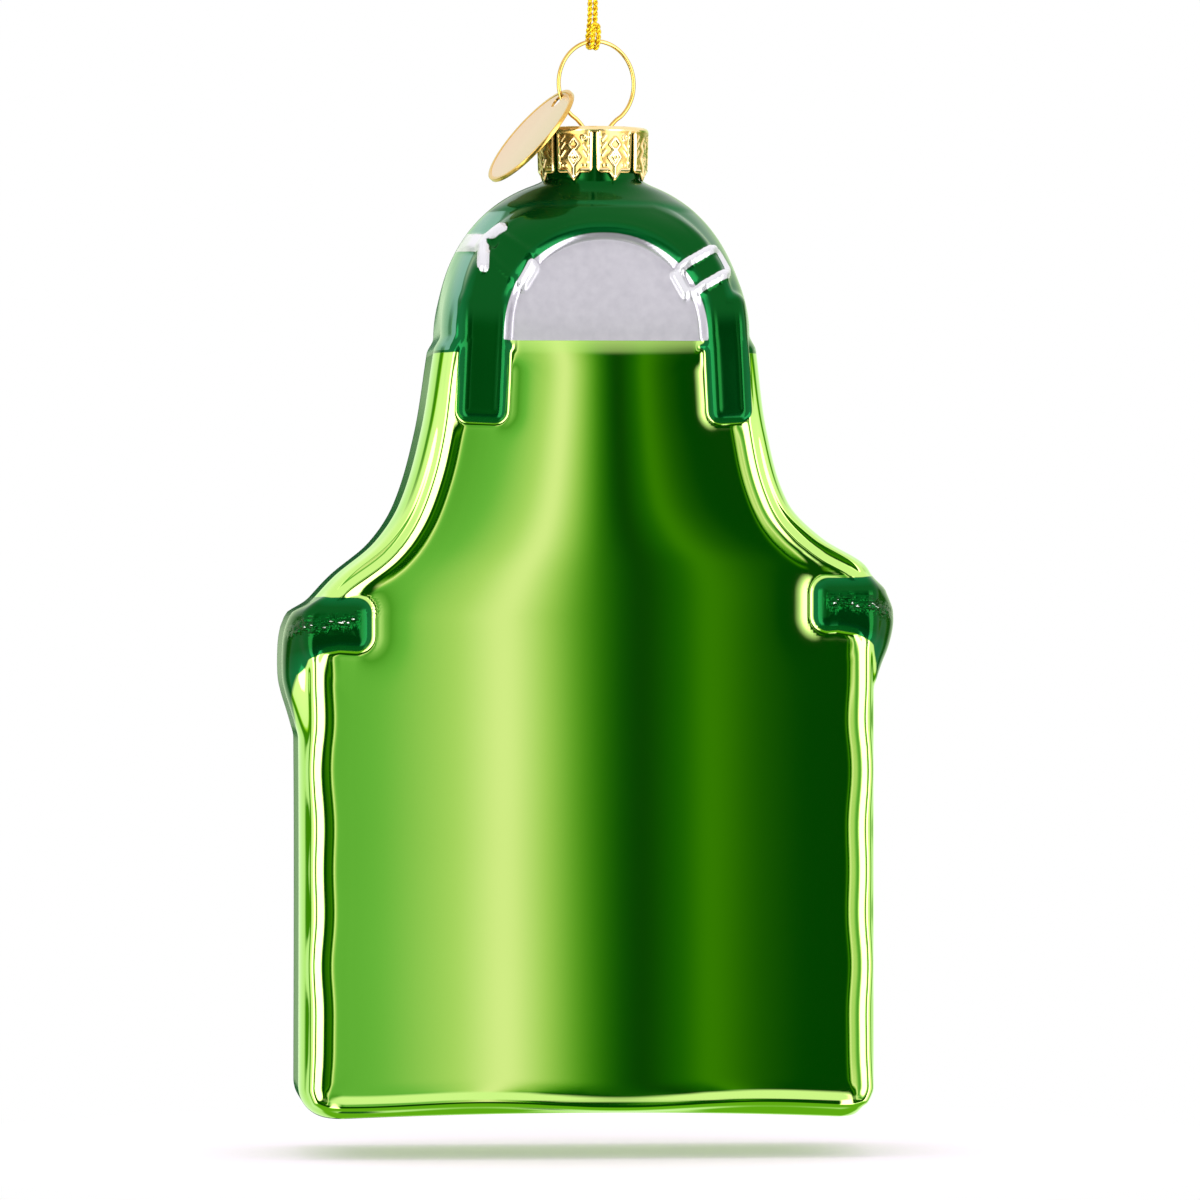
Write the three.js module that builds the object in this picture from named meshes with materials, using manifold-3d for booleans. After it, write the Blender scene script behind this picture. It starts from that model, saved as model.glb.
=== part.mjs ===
// Glass apron ornament: a mould-blown, silvered glass apron that hangs by its gold cap.
// Millimetres, +Z up, viewer at -Y. The origin is the point where a hook carries the cord loop.
import * as THREE from 'three';
import { mergeVertices } from 'three/addons/utils/BufferGeometryUtils.js';
import Module from 'manifold-3d';

const wasm = await Module();
wasm.setup();

// Cord loop: two strands up from the ring, an eye for the hook and an overhand knot
const cordDiameter = 0.62;
const loopDrop = 26;
const knotRadius = 0.85;
const knotTailLength = 2.4;
const knotGap = 0.3;

// Hanger wire: an oval ring with two legs that spring apart inside the neck
const wireDiameter = 0.48;
const ringHalfWidth = 4.72;
const ringHalfHeight = 4.95;
const ringShift = 0.44;
const ringRise = 0.3;
const ringMouthAngle = 30;
const hangerTurn = 18.4;
const waistHalfWidth = 1.35;
const legLength = 10.8;
const legClearance = 0.3;

// Crown cap: thin stamped cup cut into petals with pointed tongues
const capRadius = 6.47;
const capWall = 0.35;
const capHeight = 5.35;
const capEdgeRound = 0.5;
const capTurn = -2.6;
const petalCount = 8;
const slitTopWidth = 0.32;
const slitBottomWidth = 0.5;
const slitBelowTop = 0.75;
const petalCornerRound = 0.55;
const tongueWidth = 1.5;
const tongueLength = 0.95;
const slotClearance = 0.35;
const capNeckGap = 0.4;
const capSeatGap = 0.3;

// Hang tag: thin round disc with a raised rim, threaded on the ring and leaning on the cap
const tagDiameter = 13.8;
const tagThickness = 0.3;
const tagRimWidth = 0.5;
const tagRimRise = 0.08;
const tagHoleDiameter = 2;
const tagHoleInset = 1.6;
const tagRingAngle = 20.7;
const tagFacing = 13.2;
const tagRoll = -11.9;
const tagSlack = 0.22;
const tagCapGap = 0.3;

// Glass: heights are from the lowest point of the skirt, widths from the neck's axis
const glassWall = 1.1;
const neckWall = 0.8;
const neckHeight = 6;
const bodyHeight = 107.4;
const halfDepth = 12.4;
const skirtLeft = 34.5;
const skirtRight = 32.3;
const bibLeft = 18.9;
const bibRight = 18.3;
const archLeft = 18.1;
const archRight = 17.5;
const waistLeftHeight = 57.5;
const waistRightHeight = 60.3;
const bibTopHeight = 88;
const archStep = 2;
const archRoundness = 2.2;
const archOverNeck = 1.1;
const bottomCorner = 3.6;
const bottomSoftness = 4.5;
const bottomLift = 0.7;
const edgeRoundAcross = 2.9;
const edgeRoundDeep = 5.2;
const frontCrown = 0.35;
const rimWidth = 3.4;
const rimCorner = 1.6;
const panelRecess = 0.45;

// Neck strap and silver bib back, placed from the bib's top hem and from the shoulder
const strapRise = 1;
const strapFootStep = 0.4;
const strapOverBib = 6.1;
const bibBackCentre = 0.5;
const bibBackHalfWidth = 11.2;
const bibBackStep = 1.1;
const bibBackRecess = 0.9;
const bibBackRoundness = 2.1;
const tailWidth = 4.6;
const tailDrop = 7.8;
const tailTopSpread = 13.6;
const tailBottomSpread = 14.6;
const tailCornerRound = 0.9;

// Buckles: a frame on the right, and on the left a band with two prongs and a keeper.
// Heights are below the shoulder's top.
const buckleRise = 0.75;
const buckleSideRise = 0.3;
const frameAcross = 11.9;
const frameBelow = 10.4;
const frameLength = 5.8;
const frameWidth = 4.1;
const frameBar = 0.95;
const frameTurn = 28;
const bandWidth = 2.3;
const bandAcross = -15.4;
const bandBelow = 6.7;
const bandLength = 6;
const bandTurn = -12;
const bandCorner = 0.3;
const prongWidth = 1.15;
const prongRoot = [-12.9, 7.7];
const prongUpper = [-10.9, 5.7];
const prongLower = [-13.3, 10.3];
const keeperAcross = -8.3;
const keeperBelow = 10.8;
const keeperLength = 3.6;
const keeperWidth = 1.35;
const keeperTurn = 59;

// Waist ties: folded bands that wrap the skirt's top corners and droop at the sides
const tieRiseFront = 1.2;
const tieRiseSide = 1.9;
const tieHalfHeight = 3.1;
const tieEndRound = 1.2;
const tieLeftEnd = 26.3;
const tieLeftHeight = 56.6;
const lobeLeftHalfHeight = 8.2;
const tieRightEnd = 24.4;
const tieRightHeight = 58.9;
const lobeRightHalfHeight = 6.2;
const lobeReach = 2.6;
const lobeLipAcross = 1;
const lobeLipDrop = 0.4;

// Cutters run past what they cut by this much, and small corners keep this share of their round
const cutMargin = 1;
const cornerShare = 0.3;

const rad = THREE.MathUtils.degToRad;
const wireRadius = wireDiameter / 2;
const cordRadius = cordDiameter / 2;

// The stack from the hook down
const ringZ = -loopDrop - ringHalfHeight;
const capTopZ = ringZ - ringHalfHeight - ringRise;
const neckRadius = capRadius - capWall - capNeckGap;
const neckBore = neckRadius - neckWall;
const neckTop = bodyHeight + neckHeight;
const archStartHeight = bibTopHeight + archStep;
const bibBackBottom = bibTopHeight + bibBackStep;
const bibBackHeight = bodyHeight - strapOverBib - bibBackBottom;
const glassBottomZ = capTopZ - capWall - capSeatGap - neckTop;

const silveredGlass = new THREE.MeshStandardMaterial({ color: 0x4fa51c, roughness: 0.12, metalness: 0.9 });
const goldPlate = new THREE.MeshStandardMaterial({ color: 0xc9a24e, roughness: 0.3, metalness: 1 });
const goldWire = new THREE.MeshStandardMaterial({ color: 0xa8842c, roughness: 0.25, metalness: 1 });
const brassFoil = new THREE.MeshStandardMaterial({ color: 0xe3cfa8, roughness: 0.35, metalness: 1 });
const goldThread = new THREE.MeshStandardMaterial({ color: 0xe0b81c, roughness: 0.45, metalness: 0.8 });

// Solids for cutting and joining, and meshes for the scene
function solidOf(geometry) {
  const g = geometry.clone();
  g.deleteAttribute('normal');
  g.deleteAttribute('uv');
  const merged = mergeVertices(g, 1e-4);
  return new wasm.Manifold(new wasm.Mesh({
    numProp: 3,
    vertProperties: new Float32Array(merged.attributes.position.array),
    triVerts: new Uint32Array(merged.index.array),
  }));
}

function geometryOf(solid) {
  const mesh = solid.getMesh();
  const g = new THREE.BufferGeometry();
  g.setAttribute('position', new THREE.BufferAttribute(Float32Array.from(mesh.vertProperties), 3));
  g.setIndex(new THREE.BufferAttribute(Uint32Array.from(mesh.triVerts), 1));
  g.computeVertexNormals();
  return g;
}

function pieceOf(name, geometry, material) {
  const mesh = new THREE.Mesh(geometry, material);
  mesh.name = name;
  return mesh;
}

function vector(points) {
  return points.map((p) => new THREE.Vector3(...p));
}

function round(radius, sides) {
  const shape = new THREE.Shape();
  for (let i = 0; i < sides; i += 1) {
    const a = (2 * Math.PI * (i + 0.5)) / sides;
    const x = radius * Math.cos(a);
    const y = radius * Math.sin(a);
    if (i === 0) shape.moveTo(x, y);
    else shape.lineTo(x, y);
  }
  shape.closePath();
  return shape;
}

function tube(points, radius, sides, steps) {
  const extrudePath = new THREE.CatmullRomCurve3(vector(points), false, 'centripetal');
  return new THREE.ExtrudeGeometry(round(radius, sides), { extrudePath, steps, bevelEnabled: false });
}

function mix(a, b, t) {
  return a + (b - a) * t;
}

function ease(x, from, to) {
  return THREE.MathUtils.smoothstep(x, from, to);
}

// A rounded hump: 1 at its centre, 0 at the half height on either side
function hump(h, centre, half) {
  const t = Math.abs(h - centre) / half;
  return t >= 1 ? 0 : Math.sqrt(1 - t ** 3);
}

// Armholes: share of the way up from the waist, share of the skirt's extra width that is left
const armholeLeft = [[0, 1], [0.07, 0.885], [0.16, 0.72], [0.28, 0.44], [0.43, 0.25], [0.7, 0.095], [1, 0]];
const armholeRight = [[0, 1], [0.08, 0.94], [0.13, 0.86], [0.22, 0.56], [0.37, 0.27], [0.67, 0.09], [1, 0]];

const left = {
  sign: -1,
  skirt: skirtLeft,
  bib: bibLeft,
  arch: archLeft,
  waist: waistLeftHeight,
  armhole: armholeLeft,
  tieEnd: tieLeftEnd,
  tieHeight: tieLeftHeight,
  lobeHalf: lobeLeftHalfHeight,
};
const right = {
  sign: 1,
  skirt: skirtRight,
  bib: bibRight,
  arch: archRight,
  waist: waistRightHeight,
  armhole: armholeRight,
  tieEnd: tieRightEnd,
  tieHeight: tieRightHeight,
  lobeHalf: lobeRightHalfHeight,
};

// How finely the outside and the hollow are divided
const outside = { tieRows: 16, armholeRows: 9, archRows: 12, cornerSteps: 6, frontSteps: 6 };
const inside = { tieRows: 3, armholeRows: 6, archRows: 8, cornerSteps: 4, frontSteps: 3 };

function lobeCentre(side) {
  return side.tieHeight + tieHalfHeight * 1.2 - side.lobeHalf;
}

// A smooth line through a table of points
function along(table, t) {
  const points = table.map(([x, y]) => new THREE.Vector2(x, y));
  const next = Math.max(1, table.findIndex(([x]) => x >= t));
  const k = next - 1;
  const at = (i) => points[THREE.MathUtils.clamp(i, 0, points.length - 1)];
  const slope = (i) => (at(i + 1).y - at(i - 1).y) / (at(i + 1).x - at(i - 1).x);
  const span = at(next).x - at(k).x;
  const u = (t - at(k).x) / span;
  return at(k).y * (1 + 2 * u) * (1 - u) ** 2 + slope(k) * span * u * (1 - u) ** 2
    + at(next).y * u * u * (3 - 2 * u) - slope(next) * span * u * u * (1 - u);
}

// The arch is half a flattened ellipse that would close a little above the neck's foot
function archSwell(h, size) {
  const s = (h - archStartHeight) / (bodyHeight - archStartHeight + archOverNeck);
  return Math.max(neckRadius, size * (1 - s ** archRoundness) ** (1 / archRoundness));
}

function sideWidth(h, side) {
  if (h >= bodyHeight) return neckRadius;
  if (h >= archStartHeight) return archSwell(h, side.arch);
  if (h >= bibTopHeight) return mix(side.bib, side.arch, ease(h, bibTopHeight, archStartHeight));
  if (h <= side.waist) return side.skirt;
  return mix(side.bib, side.skirt, along(side.armhole, (h - side.waist) / (bibTopHeight - side.waist)));
}

function depthAt(h) {
  if (h >= bodyHeight) return neckRadius;
  return h <= archStartHeight ? halfDepth : archSwell(h, halfDepth);
}

// Heights of the sections, closest where the ties and the arch bend most
function sectionHeights(detail) {
  const tieFoot = Math.min(lobeCentre(left) - left.lobeHalf, lobeCentre(right) - right.lobeHalf);
  const tieHead = Math.max(left.tieHeight, right.tieHeight) + tieHalfHeight * 1.3;
  const runs = [
    [bottomCorner, tieFoot, 3],
    [tieFoot, tieHead, detail.tieRows],
    [tieHead, bibTopHeight, detail.armholeRows],
    [bibTopHeight, archStartHeight, 2],
  ];
  const heights = runs.flatMap(([from, to, count]) => (
    Array.from({ length: count }, (_, i) => mix(from, to, i / count))));
  const archSteps = detail.archRows;
  for (let i = 0; i < archSteps; i += 1) {
    heights.push(mix(archStartHeight, bodyHeight, Math.sin(((i / archSteps) * Math.PI) / 2)));
  }
  heights.push(bodyHeight, neckTop);
  return heights;
}

// One section: a rounded rectangle that turns into the neck's circle
function section(toLeft, toRight, depth, z, neckShare, lift, detail) {
  const { cornerSteps, frontSteps } = detail;
  const rx = Math.min(edgeRoundAcross, toLeft * 0.9, toRight * 0.9);
  const ry = Math.min(edgeRoundDeep, depth * 0.9);
  const corners = [
    [toRight - rx, depth - ry],
    [rx - toLeft, depth - ry],
    [rx - toLeft, ry - depth],
    [toRight - rx, ry - depth],
  ];
  const square = [];
  corners.forEach(([cx, cy], i) => {
    for (let k = 0; k <= cornerSteps; k += 1) {
      const a = ((i + k / cornerSteps) * Math.PI) / 2;
      square.push([cx + rx * Math.cos(a), cy + ry * Math.sin(a)]);
    }
    if (i % 2 === 0) {
      const y = i === 0 ? depth : -depth;
      for (let k = 1; k < frontSteps; k += 1) square.push([mix(cx, corners[i + 1][0], k / frontSteps), y]);
    }
  });
  return square.map(([sx, sy], i) => {
    const a = (2 * Math.PI * (i + 0.5)) / square.length;
    const x = mix(sx, (Math.cos(a) > 0 ? toRight : toLeft) * Math.cos(a), neckShare);
    const y = mix(sy, depth * Math.sin(a), neckShare);
    const across = x > 0 ? x / toRight : x / toLeft;
    const crown = 1 + (frontCrown / halfDepth) * (1 - across * across) * (1 - neckShare);
    return new THREE.Vector3(x, y * crown, z + lift * (1 - across * across));
  });
}

// A closed skin through a stack of sections
function skin(rings) {
  const n = rings[0].length;
  const hubs = [rings[0], rings[rings.length - 1]].map((ring) => (
    ring.reduce((sum, p) => sum.add(p), new THREE.Vector3()).divideScalar(n)));
  const points = [...rings.flat(), ...hubs];
  const bottomHub = points.length - 2;
  const topHub = points.length - 1;
  const topStart = n * (rings.length - 1);
  const index = [];
  for (let i = 0; i < n; i += 1) {
    const j = (i + 1) % n;
    for (let r = 0; r < topStart; r += n) index.push(r + i, r + j, r + j + n, r + i, r + j + n, r + i + n);
    index.push(bottomHub, j, i, topHub, topStart + i, topStart + j);
  }
  const g = new THREE.BufferGeometry().setFromPoints(points);
  g.setIndex(index);
  return g;
}

// The glass form, grown across and in depth by functions of the height, and set back by a third.
// floor lifts its bottom, and sink lowers its shoulders, for the hollow inside.
function glassForm({
  across = () => 0, deep = () => 0, back = () => 0, floor = 0, sink = 0, above = 0, detail = outside,
}) {
  const ringAt = (h, z, shrink, lift) => section(
    sideWidth(h, left) + across(h, left) - bottomCorner * shrink,
    sideWidth(h, right) + across(h, right) - bottomCorner * shrink,
    depthAt(h) + deep(h) - bottomSoftness * shrink,
    glassBottomZ + z,
    ease(h, archStartHeight, bodyHeight),
    lift,
    detail,
  ).map((p) => p.setY(p.y + back(h)));
  const bottomSteps = 5;
  const rings = [];
  for (let k = 0; k < bottomSteps; k += 1) {
    const a = ((k / bottomSteps) * Math.PI) / 2;
    rings.push(ringAt(bottomCorner, mix(floor, bottomCorner, 1 - Math.cos(a)), 1 - Math.sin(a), bottomLift));
  }
  sectionHeights(detail).forEach((h) => {
    const lift = bottomLift * (1 - ease(h, bottomCorner, bottomCorner * 3));
    const drop = sink * ease(h, archStartHeight, bodyHeight) * (h > bodyHeight ? 0 : 1);
    rings.push(ringAt(h, h - drop + (h === neckTop ? above : 0), 0, lift));
  });
  return solidOf(skin(rings));
}

// A front outline in widths and heights, extruded from the middle of the glass to the front
function prism(shape, through = false) {
  const reach = halfDepth * 2;
  const g = new THREE.ExtrudeGeometry(shape, { depth: through ? 2 * reach : reach, bevelEnabled: false });
  g.rotateX(Math.PI / 2);
  g.translate(0, through ? reach : 0, glassBottomZ);
  return solidOf(g);
}

function outline(points) {
  const shape = new THREE.Shape();
  points.forEach(([x, y], i) => (i === 0 ? shape.moveTo(x, y) : shape.lineTo(x, y)));
  shape.closePath();
  return shape;
}

// A rectangle with round corners, turned about its centre
function plate(cx, cy, length, width, corner, turn) {
  const c = Math.cos(rad(turn));
  const s = Math.sin(rad(turn));
  const cornerSteps = 4;
  const points = [];
  [[1, 1], [-1, 1], [-1, -1], [1, -1]].forEach(([sx, sy], i) => {
    for (let k = 0; k <= cornerSteps; k += 1) {
      const a = ((i + k / cornerSteps) * Math.PI) / 2;
      const x = sx * (length / 2 - corner) + corner * Math.cos(a);
      const y = sy * (width / 2 - corner) + corner * Math.sin(a);
      points.push([cx + x * c - y * s, cy + x * s + y * c]);
    }
  });
  return outline(points);
}

function fromTop([across, below]) {
  return [across, bodyHeight - below];
}

function bar(from, to, width) {
  const [dx, dy] = [to[0] - from[0], to[1] - from[1]];
  const length = Math.hypot(dx, dy) + width;
  const turn = THREE.MathUtils.radToDeg(Math.atan2(dy, dx));
  return plate((from[0] + to[0]) / 2, (from[1] + to[1]) / 2, length, width, width * 0.49, turn);
}

// The silver back of the bib: an arch with a straight foot
function bibBackOutline(grow) {
  const points = [[bibBackCentre - bibBackHalfWidth - grow, bibBackBottom - grow]];
  const steps = 24;
  for (let i = 0; i <= steps; i += 1) {
    const a = Math.PI * (1 - i / steps);
    const c = Math.cos(a);
    const x = Math.sign(c) * Math.abs(c) ** (2 / bibBackRoundness) * (bibBackHalfWidth + grow);
    const y = Math.sin(a) ** (2 / bibBackRoundness) * (bibBackHeight + grow);
    points.push([bibBackCentre + x, bibBackBottom + y]);
  }
  points.push([bibBackCentre + bibBackHalfWidth + grow, bibBackBottom - grow]);
  return outline(points);
}

// The front panel lies inside a rim that follows the sides up to the bib's hem
function panelOutline() {
  const foot = rimWidth;
  const skirtFoot = foot + rimCorner;
  const heights = [0, 1 / 3, 2 / 3, 1].map((share) => mix(skirtFoot, waistLeftHeight, share));
  const armholeSteps = 10;
  for (let i = 1; i <= armholeSteps; i += 1) {
    heights.push(mix(waistLeftHeight, bibTopHeight, i / armholeSteps));
  }
  const edge = (side) => heights.map((h) => [side.sign * (sideWidth(h, side) - rimWidth), h]);
  return outline([
    ...edge(left).reverse(),
    [rimWidth + rimCorner - skirtLeft, foot],
    [skirtRight - rimWidth - rimCorner, foot],
    ...edge(right),
  ]);
}

function tailOutline(sign) {
  const top = [bibBackCentre + sign * tailTopSpread, archStartHeight + tailWidth];
  const bottom = [bibBackCentre + sign * tailBottomSpread, bibTopHeight - tailDrop];
  const turn = THREE.MathUtils.radToDeg(Math.atan2(top[1] - bottom[1], top[0] - bottom[0]));
  const length = Math.hypot(top[0] - bottom[0], top[1] - bottom[1]);
  return plate((top[0] + bottom[0]) / 2, (top[1] + bottom[1]) / 2, length, tailWidth, tailCornerRound, turn);
}

function tieOutline(side) {
  const outer = side.skirt + tieRiseSide * 3;
  const inner = side.tieEnd;
  const low = side.tieHeight - tieHalfHeight;
  const high = side.tieHeight + tieHalfHeight;
  const foot = lobeCentre(side) - side.lobeHalf;
  const head = lobeCentre(side) + side.lobeHalf;
  const neck = side.skirt - lobeReach;
  const corner = tieEndRound * cornerShare;
  const points = [
    [inner + tieEndRound, low],
    [inner + corner, low + corner],
    [inner, low + tieEndRound],
    [inner, high - tieEndRound],
    [inner + corner, high - corner],
    [inner + tieEndRound, high],
    [neck, high],
    [neck, head],
    [outer, head],
    [outer, foot],
    [neck, foot],
    [neck - lobeLipAcross, low - lobeLipDrop],
  ];
  return outline(points.map(([x, y]) => [side.sign * x, y]));
}

// Blown glass shell: every relief is a share of a larger form cut to its outline
function glassBody() {
  const rim = (grow) => glassForm({ across: () => grow, deep: () => grow });
  const strapForm = glassForm({
    deep: (h) => strapRise * (1 - ease(h, mix(archStartHeight, bodyHeight, 0.75), bodyHeight)),
  });
  const buckleForm = glassForm({ across: () => buckleSideRise, deep: () => strapRise + buckleRise });
  const tieForm = glassForm({
    across: (h, side) => tieRiseSide * hump(h, lobeCentre(side), side.lobeHalf),
    deep: (h) => tieRiseFront * Math.max(
      hump(h, left.tieHeight, tieHalfHeight),
      hump(h, right.tieHeight, tieHalfHeight),
    ),
  });

  const bibBack = prism(bibBackOutline(0));
  const archTop = prism(outline([
    [-archLeft - cutMargin, bibTopHeight + strapFootStep],
    [archRight + cutMargin, bibTopHeight + strapFootStep],
    [archRight + cutMargin, bodyHeight],
    [-archLeft - cutMargin, bodyHeight],
  ]));
  const strap = archTop
    .subtract(prism(outline([
      [bibBackCentre - bibBackHalfWidth, 0],
      [bibBackCentre + bibBackHalfWidth, 0],
      [bibBackCentre + bibBackHalfWidth, bibBackBottom],
      [bibBackCentre - bibBackHalfWidth, bibBackBottom],
    ])))
    .add(prism(tailOutline(-1)))
    .add(prism(tailOutline(1)))
    .subtract(bibBack)
    .intersect(strapForm);
  const frameCentre = [frameAcross, bodyHeight - frameBelow];
  const frame = prism(plate(...frameCentre, frameLength, frameWidth, frameBar, frameTurn))
    .subtract(prism(plate(
      ...frameCentre, frameLength - 2 * frameBar, frameWidth - 2 * frameBar, frameBar * 0.3, frameTurn,
    )));
  const root = fromTop(prongRoot);
  const keeperCentre = [keeperAcross, bodyHeight - keeperBelow];
  const buckles = [
    plate(bandAcross, bodyHeight - bandBelow, bandLength, bandWidth, bandCorner, bandTurn),
    bar(root, fromTop(prongUpper), prongWidth),
    bar(root, fromTop(prongLower), prongWidth),
    plate(...keeperCentre, keeperLength, keeperWidth, keeperWidth * 0.49, keeperTurn),
  ].reduce((sum, shape) => sum.add(prism(shape)), frame).intersect(buckleForm);
  const ties = prism(tieOutline(left), true).add(prism(tieOutline(right), true)).intersect(tieForm);

  const toNeck = (h) => ease(h, mix(archStartHeight, bodyHeight, 0.9), bodyHeight);
  const hollow = glassForm({
    across: (h) => -mix(glassWall, neckWall, toNeck(h)),
    deep: (h) => -mix(glassWall + panelRecess / 2, neckWall, toNeck(h)),
    back: (h) => (panelRecess / 2) * (1 - toNeck(h)),
    floor: glassWall,
    sink: glassWall,
    above: cutMargin,
    detail: inside,
  }).subtract(prism(bibBackOutline(glassWall)).subtract(rim(-bibBackRecess - glassWall)));

  return rim(0)
    .subtract(prism(panelOutline()).subtract(rim(-panelRecess)))
    .subtract(bibBack.subtract(rim(-bibBackRecess)))
    .add(strap)
    .add(buckles)
    .add(ties)
    .subtract(hollow);
}

// Crown cap: a turned cup, cut by one shape per slit that also leaves the tongues
function crownCap() {
  const wallBottom = -capHeight - tongueLength;
  const profile = [[0, 0]];
  const roundSteps = 4;
  for (let k = 0; k <= roundSteps; k += 1) {
    const a = ((1 - k / roundSteps) * Math.PI) / 2;
    profile.push([
      capRadius - capEdgeRound + capEdgeRound * Math.cos(a),
      -capEdgeRound + capEdgeRound * Math.sin(a),
    ]);
  }
  const inner = capRadius - capWall;
  profile.push([capRadius, wallBottom], [inner, wallBottom], [inner, -capEdgeRound]);
  profile.push([capRadius - capEdgeRound, -capWall], [0, -capWall]);
  const cup = new THREE.LatheGeometry(profile.map(([r, z]) => new THREE.Vector2(r, z)).reverse(), 64);
  cup.rotateX(Math.PI / 2);

  const half = Math.tan(Math.PI / petalCount) * capRadius;
  const edge = slitBottomWidth / 2;
  const corner = petalCornerRound;
  const lower = [
    [slitTopWidth / 2, -slitBelowTop],
    [edge, -capHeight + corner],
    [edge + corner * cornerShare, -capHeight + corner * cornerShare],
    [edge + corner, -capHeight],
    [half - tongueWidth / 2, -capHeight],
    [half, wallBottom],
    [half, wallBottom - cutMargin],
  ];
  const cutter = outline([...lower, ...lower.map(([x, z]) => [-x, z]).reverse()]);
  let cap = solidOf(cup);
  for (let i = 0; i < petalCount; i += 1) {
    const g = new THREE.ExtrudeGeometry(cutter, { depth: capWall * 4, bevelEnabled: false });
    g.rotateX(Math.PI / 2);
    g.translate(0, -capRadius + capWall * 2.5, 0);
    g.rotateZ(rad(capTurn) + (2 * Math.PI * i) / petalCount);
    cap = cap.subtract(solidOf(g));
  }
  const slotLength = 2 * (waistHalfWidth + wireDiameter + slotClearance);
  const slotWidth = wireDiameter + 2 * slotClearance;
  const slot = new THREE.ExtrudeGeometry(
    plate(ringShift, 0, slotLength, slotWidth, slotWidth * 0.49, 0),
    { depth: capWall * 4, bevelEnabled: false },
  );
  slot.translate(0, 0, -capWall * 2);
  slot.rotateZ(rad(hangerTurn));
  return cap.subtract(solidOf(slot));
}

// Hanger: the ring, pinched at the cap's slot, and legs that follow the bore of the neck
function hangerWire() {
  const slotZ = -ringHalfHeight - ringRise;
  const footX = neckBore - wireRadius - legClearance;
  const leg = (sign) => [
    [sign * footX, 0, slotZ - legLength],
    [sign * footX, 0, slotZ - legLength * 0.72],
    [mix(ringShift, sign * footX, 0.7), 0, slotZ - legLength * 0.42],
    [ringShift + sign * waistHalfWidth, 0, slotZ - legLength * 0.13],
    [ringShift + sign * waistHalfWidth, 0, slotZ - capWall],
  ];
  const ring = [];
  const ringSteps = 20;
  for (let i = 0; i <= ringSteps; i += 1) {
    const a = mix(-180 + ringMouthAngle, 180 - ringMouthAngle, i / ringSteps);
    ring.push([ringShift + ringHalfWidth * Math.sin(rad(a)), 0, ringHalfHeight * Math.cos(rad(a))]);
  }
  return tube([...leg(-1), ...ring, ...leg(1).reverse()], wireRadius, 8, 96);
}

// The tag's hole is on the ring, and the disc leans over until it lies on the cap's rounded rim
function tagSeat(lean) {
  const along3 = new THREE.Vector3(Math.cos(rad(hangerTurn)), Math.sin(rad(hangerTurn)), 0);
  const a = rad(tagRingAngle);
  const wire = along3.clone().multiplyScalar(ringShift - ringHalfWidth * Math.cos(a));
  wire.z = ringZ - ringHalfHeight * Math.sin(a);
  const k = Math.cos(rad(tagFacing));
  const normal = new THREE.Vector3(-k * Math.cos(lean), -Math.sin(rad(tagFacing)), k * Math.sin(lean));
  const down = new THREE.Vector3(-Math.sin(lean), 0, -Math.cos(lean));
  down.addScaledVector(normal, -down.dot(normal)).normalize().applyAxisAngle(normal, rad(-tagRoll));
  const holeRadius = tagHoleDiameter / 2;
  const hole = wire.clone().addScaledVector(down, holeRadius - wireRadius - tagSlack);
  const centre = hole.clone().addScaledVector(down, tagDiameter / 2 - tagHoleInset);
  return { normal, down, centre };
}

function tagClearance(lean) {
  const { normal, centre } = tagSeat(lean);
  const rimReach = (capRadius - capEdgeRound) * Math.hypot(normal.x, normal.y)
    + normal.z * (capTopZ - capEdgeRound) + capEdgeRound;
  return normal.dot(centre) - rimReach - tagThickness / 2 - tagRimRise;
}

function tagLean() {
  let low = 0;
  let high = Math.PI / 2;
  for (let i = 0; i < 40; i += 1) {
    const middle = (low + high) / 2;
    if (tagClearance(middle) < tagCapGap) low = middle;
    else high = middle;
  }
  return high;
}

function hangTag() {
  const r = tagDiameter / 2;
  const t = tagThickness / 2;
  const rim = t + tagRimRise;
  const profile = [
    [0, -t], [r - tagRimWidth, -t], [r - tagRimWidth + tagRimRise, -rim], [r - tagRimRise, -rim], [r, -t],
    [r, t], [r - tagRimRise, rim], [r - tagRimWidth + tagRimRise, rim], [r - tagRimWidth, t], [0, t],
  ];
  const disc = new THREE.LatheGeometry(profile.map(([x, z]) => new THREE.Vector2(x, z)), 48);
  disc.rotateX(Math.PI / 2);
  const hole = new THREE.CylinderGeometry(tagHoleDiameter / 2, tagHoleDiameter / 2, 4 * rim, 20);
  hole.rotateX(Math.PI / 2);
  hole.translate(tagHoleInset - r, 0, 0);
  return solidOf(disc).subtract(solidOf(hole));
}

// Cord route in the hanger's plane: right, away from the viewer, up from the hook
const cordHalf = [
  [-0.42, 0, 0.35], [-1.3, 0, -1.1], [-2.6, 0, -3.4], [-3.15, 0, -6.2], [-2.6, 0, -9.2], [-1.4, 0, -12.2],
  [-0.6, 0, -15], [-0.37, 0, -18], [-0.34, 0, -21], [-0.34, 0.1, -23.4], [-0.34, 0.5, -24.9],
  [-0.34, 0.76, -25.9], [-0.34, 0.5, -26.62], [-0.34, -0.12, -26.8], [-0.34, -0.66, -26.4],
  [-0.38, -0.82, -25.4], [-0.34, -0.84, -24.5],
];
const cordRoute = [
  ...cordHalf,
  [0, -0.86, -24.05],
  ...cordHalf.map(([x, y, z]) => [-x, y, z]).reverse(),
];

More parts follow.
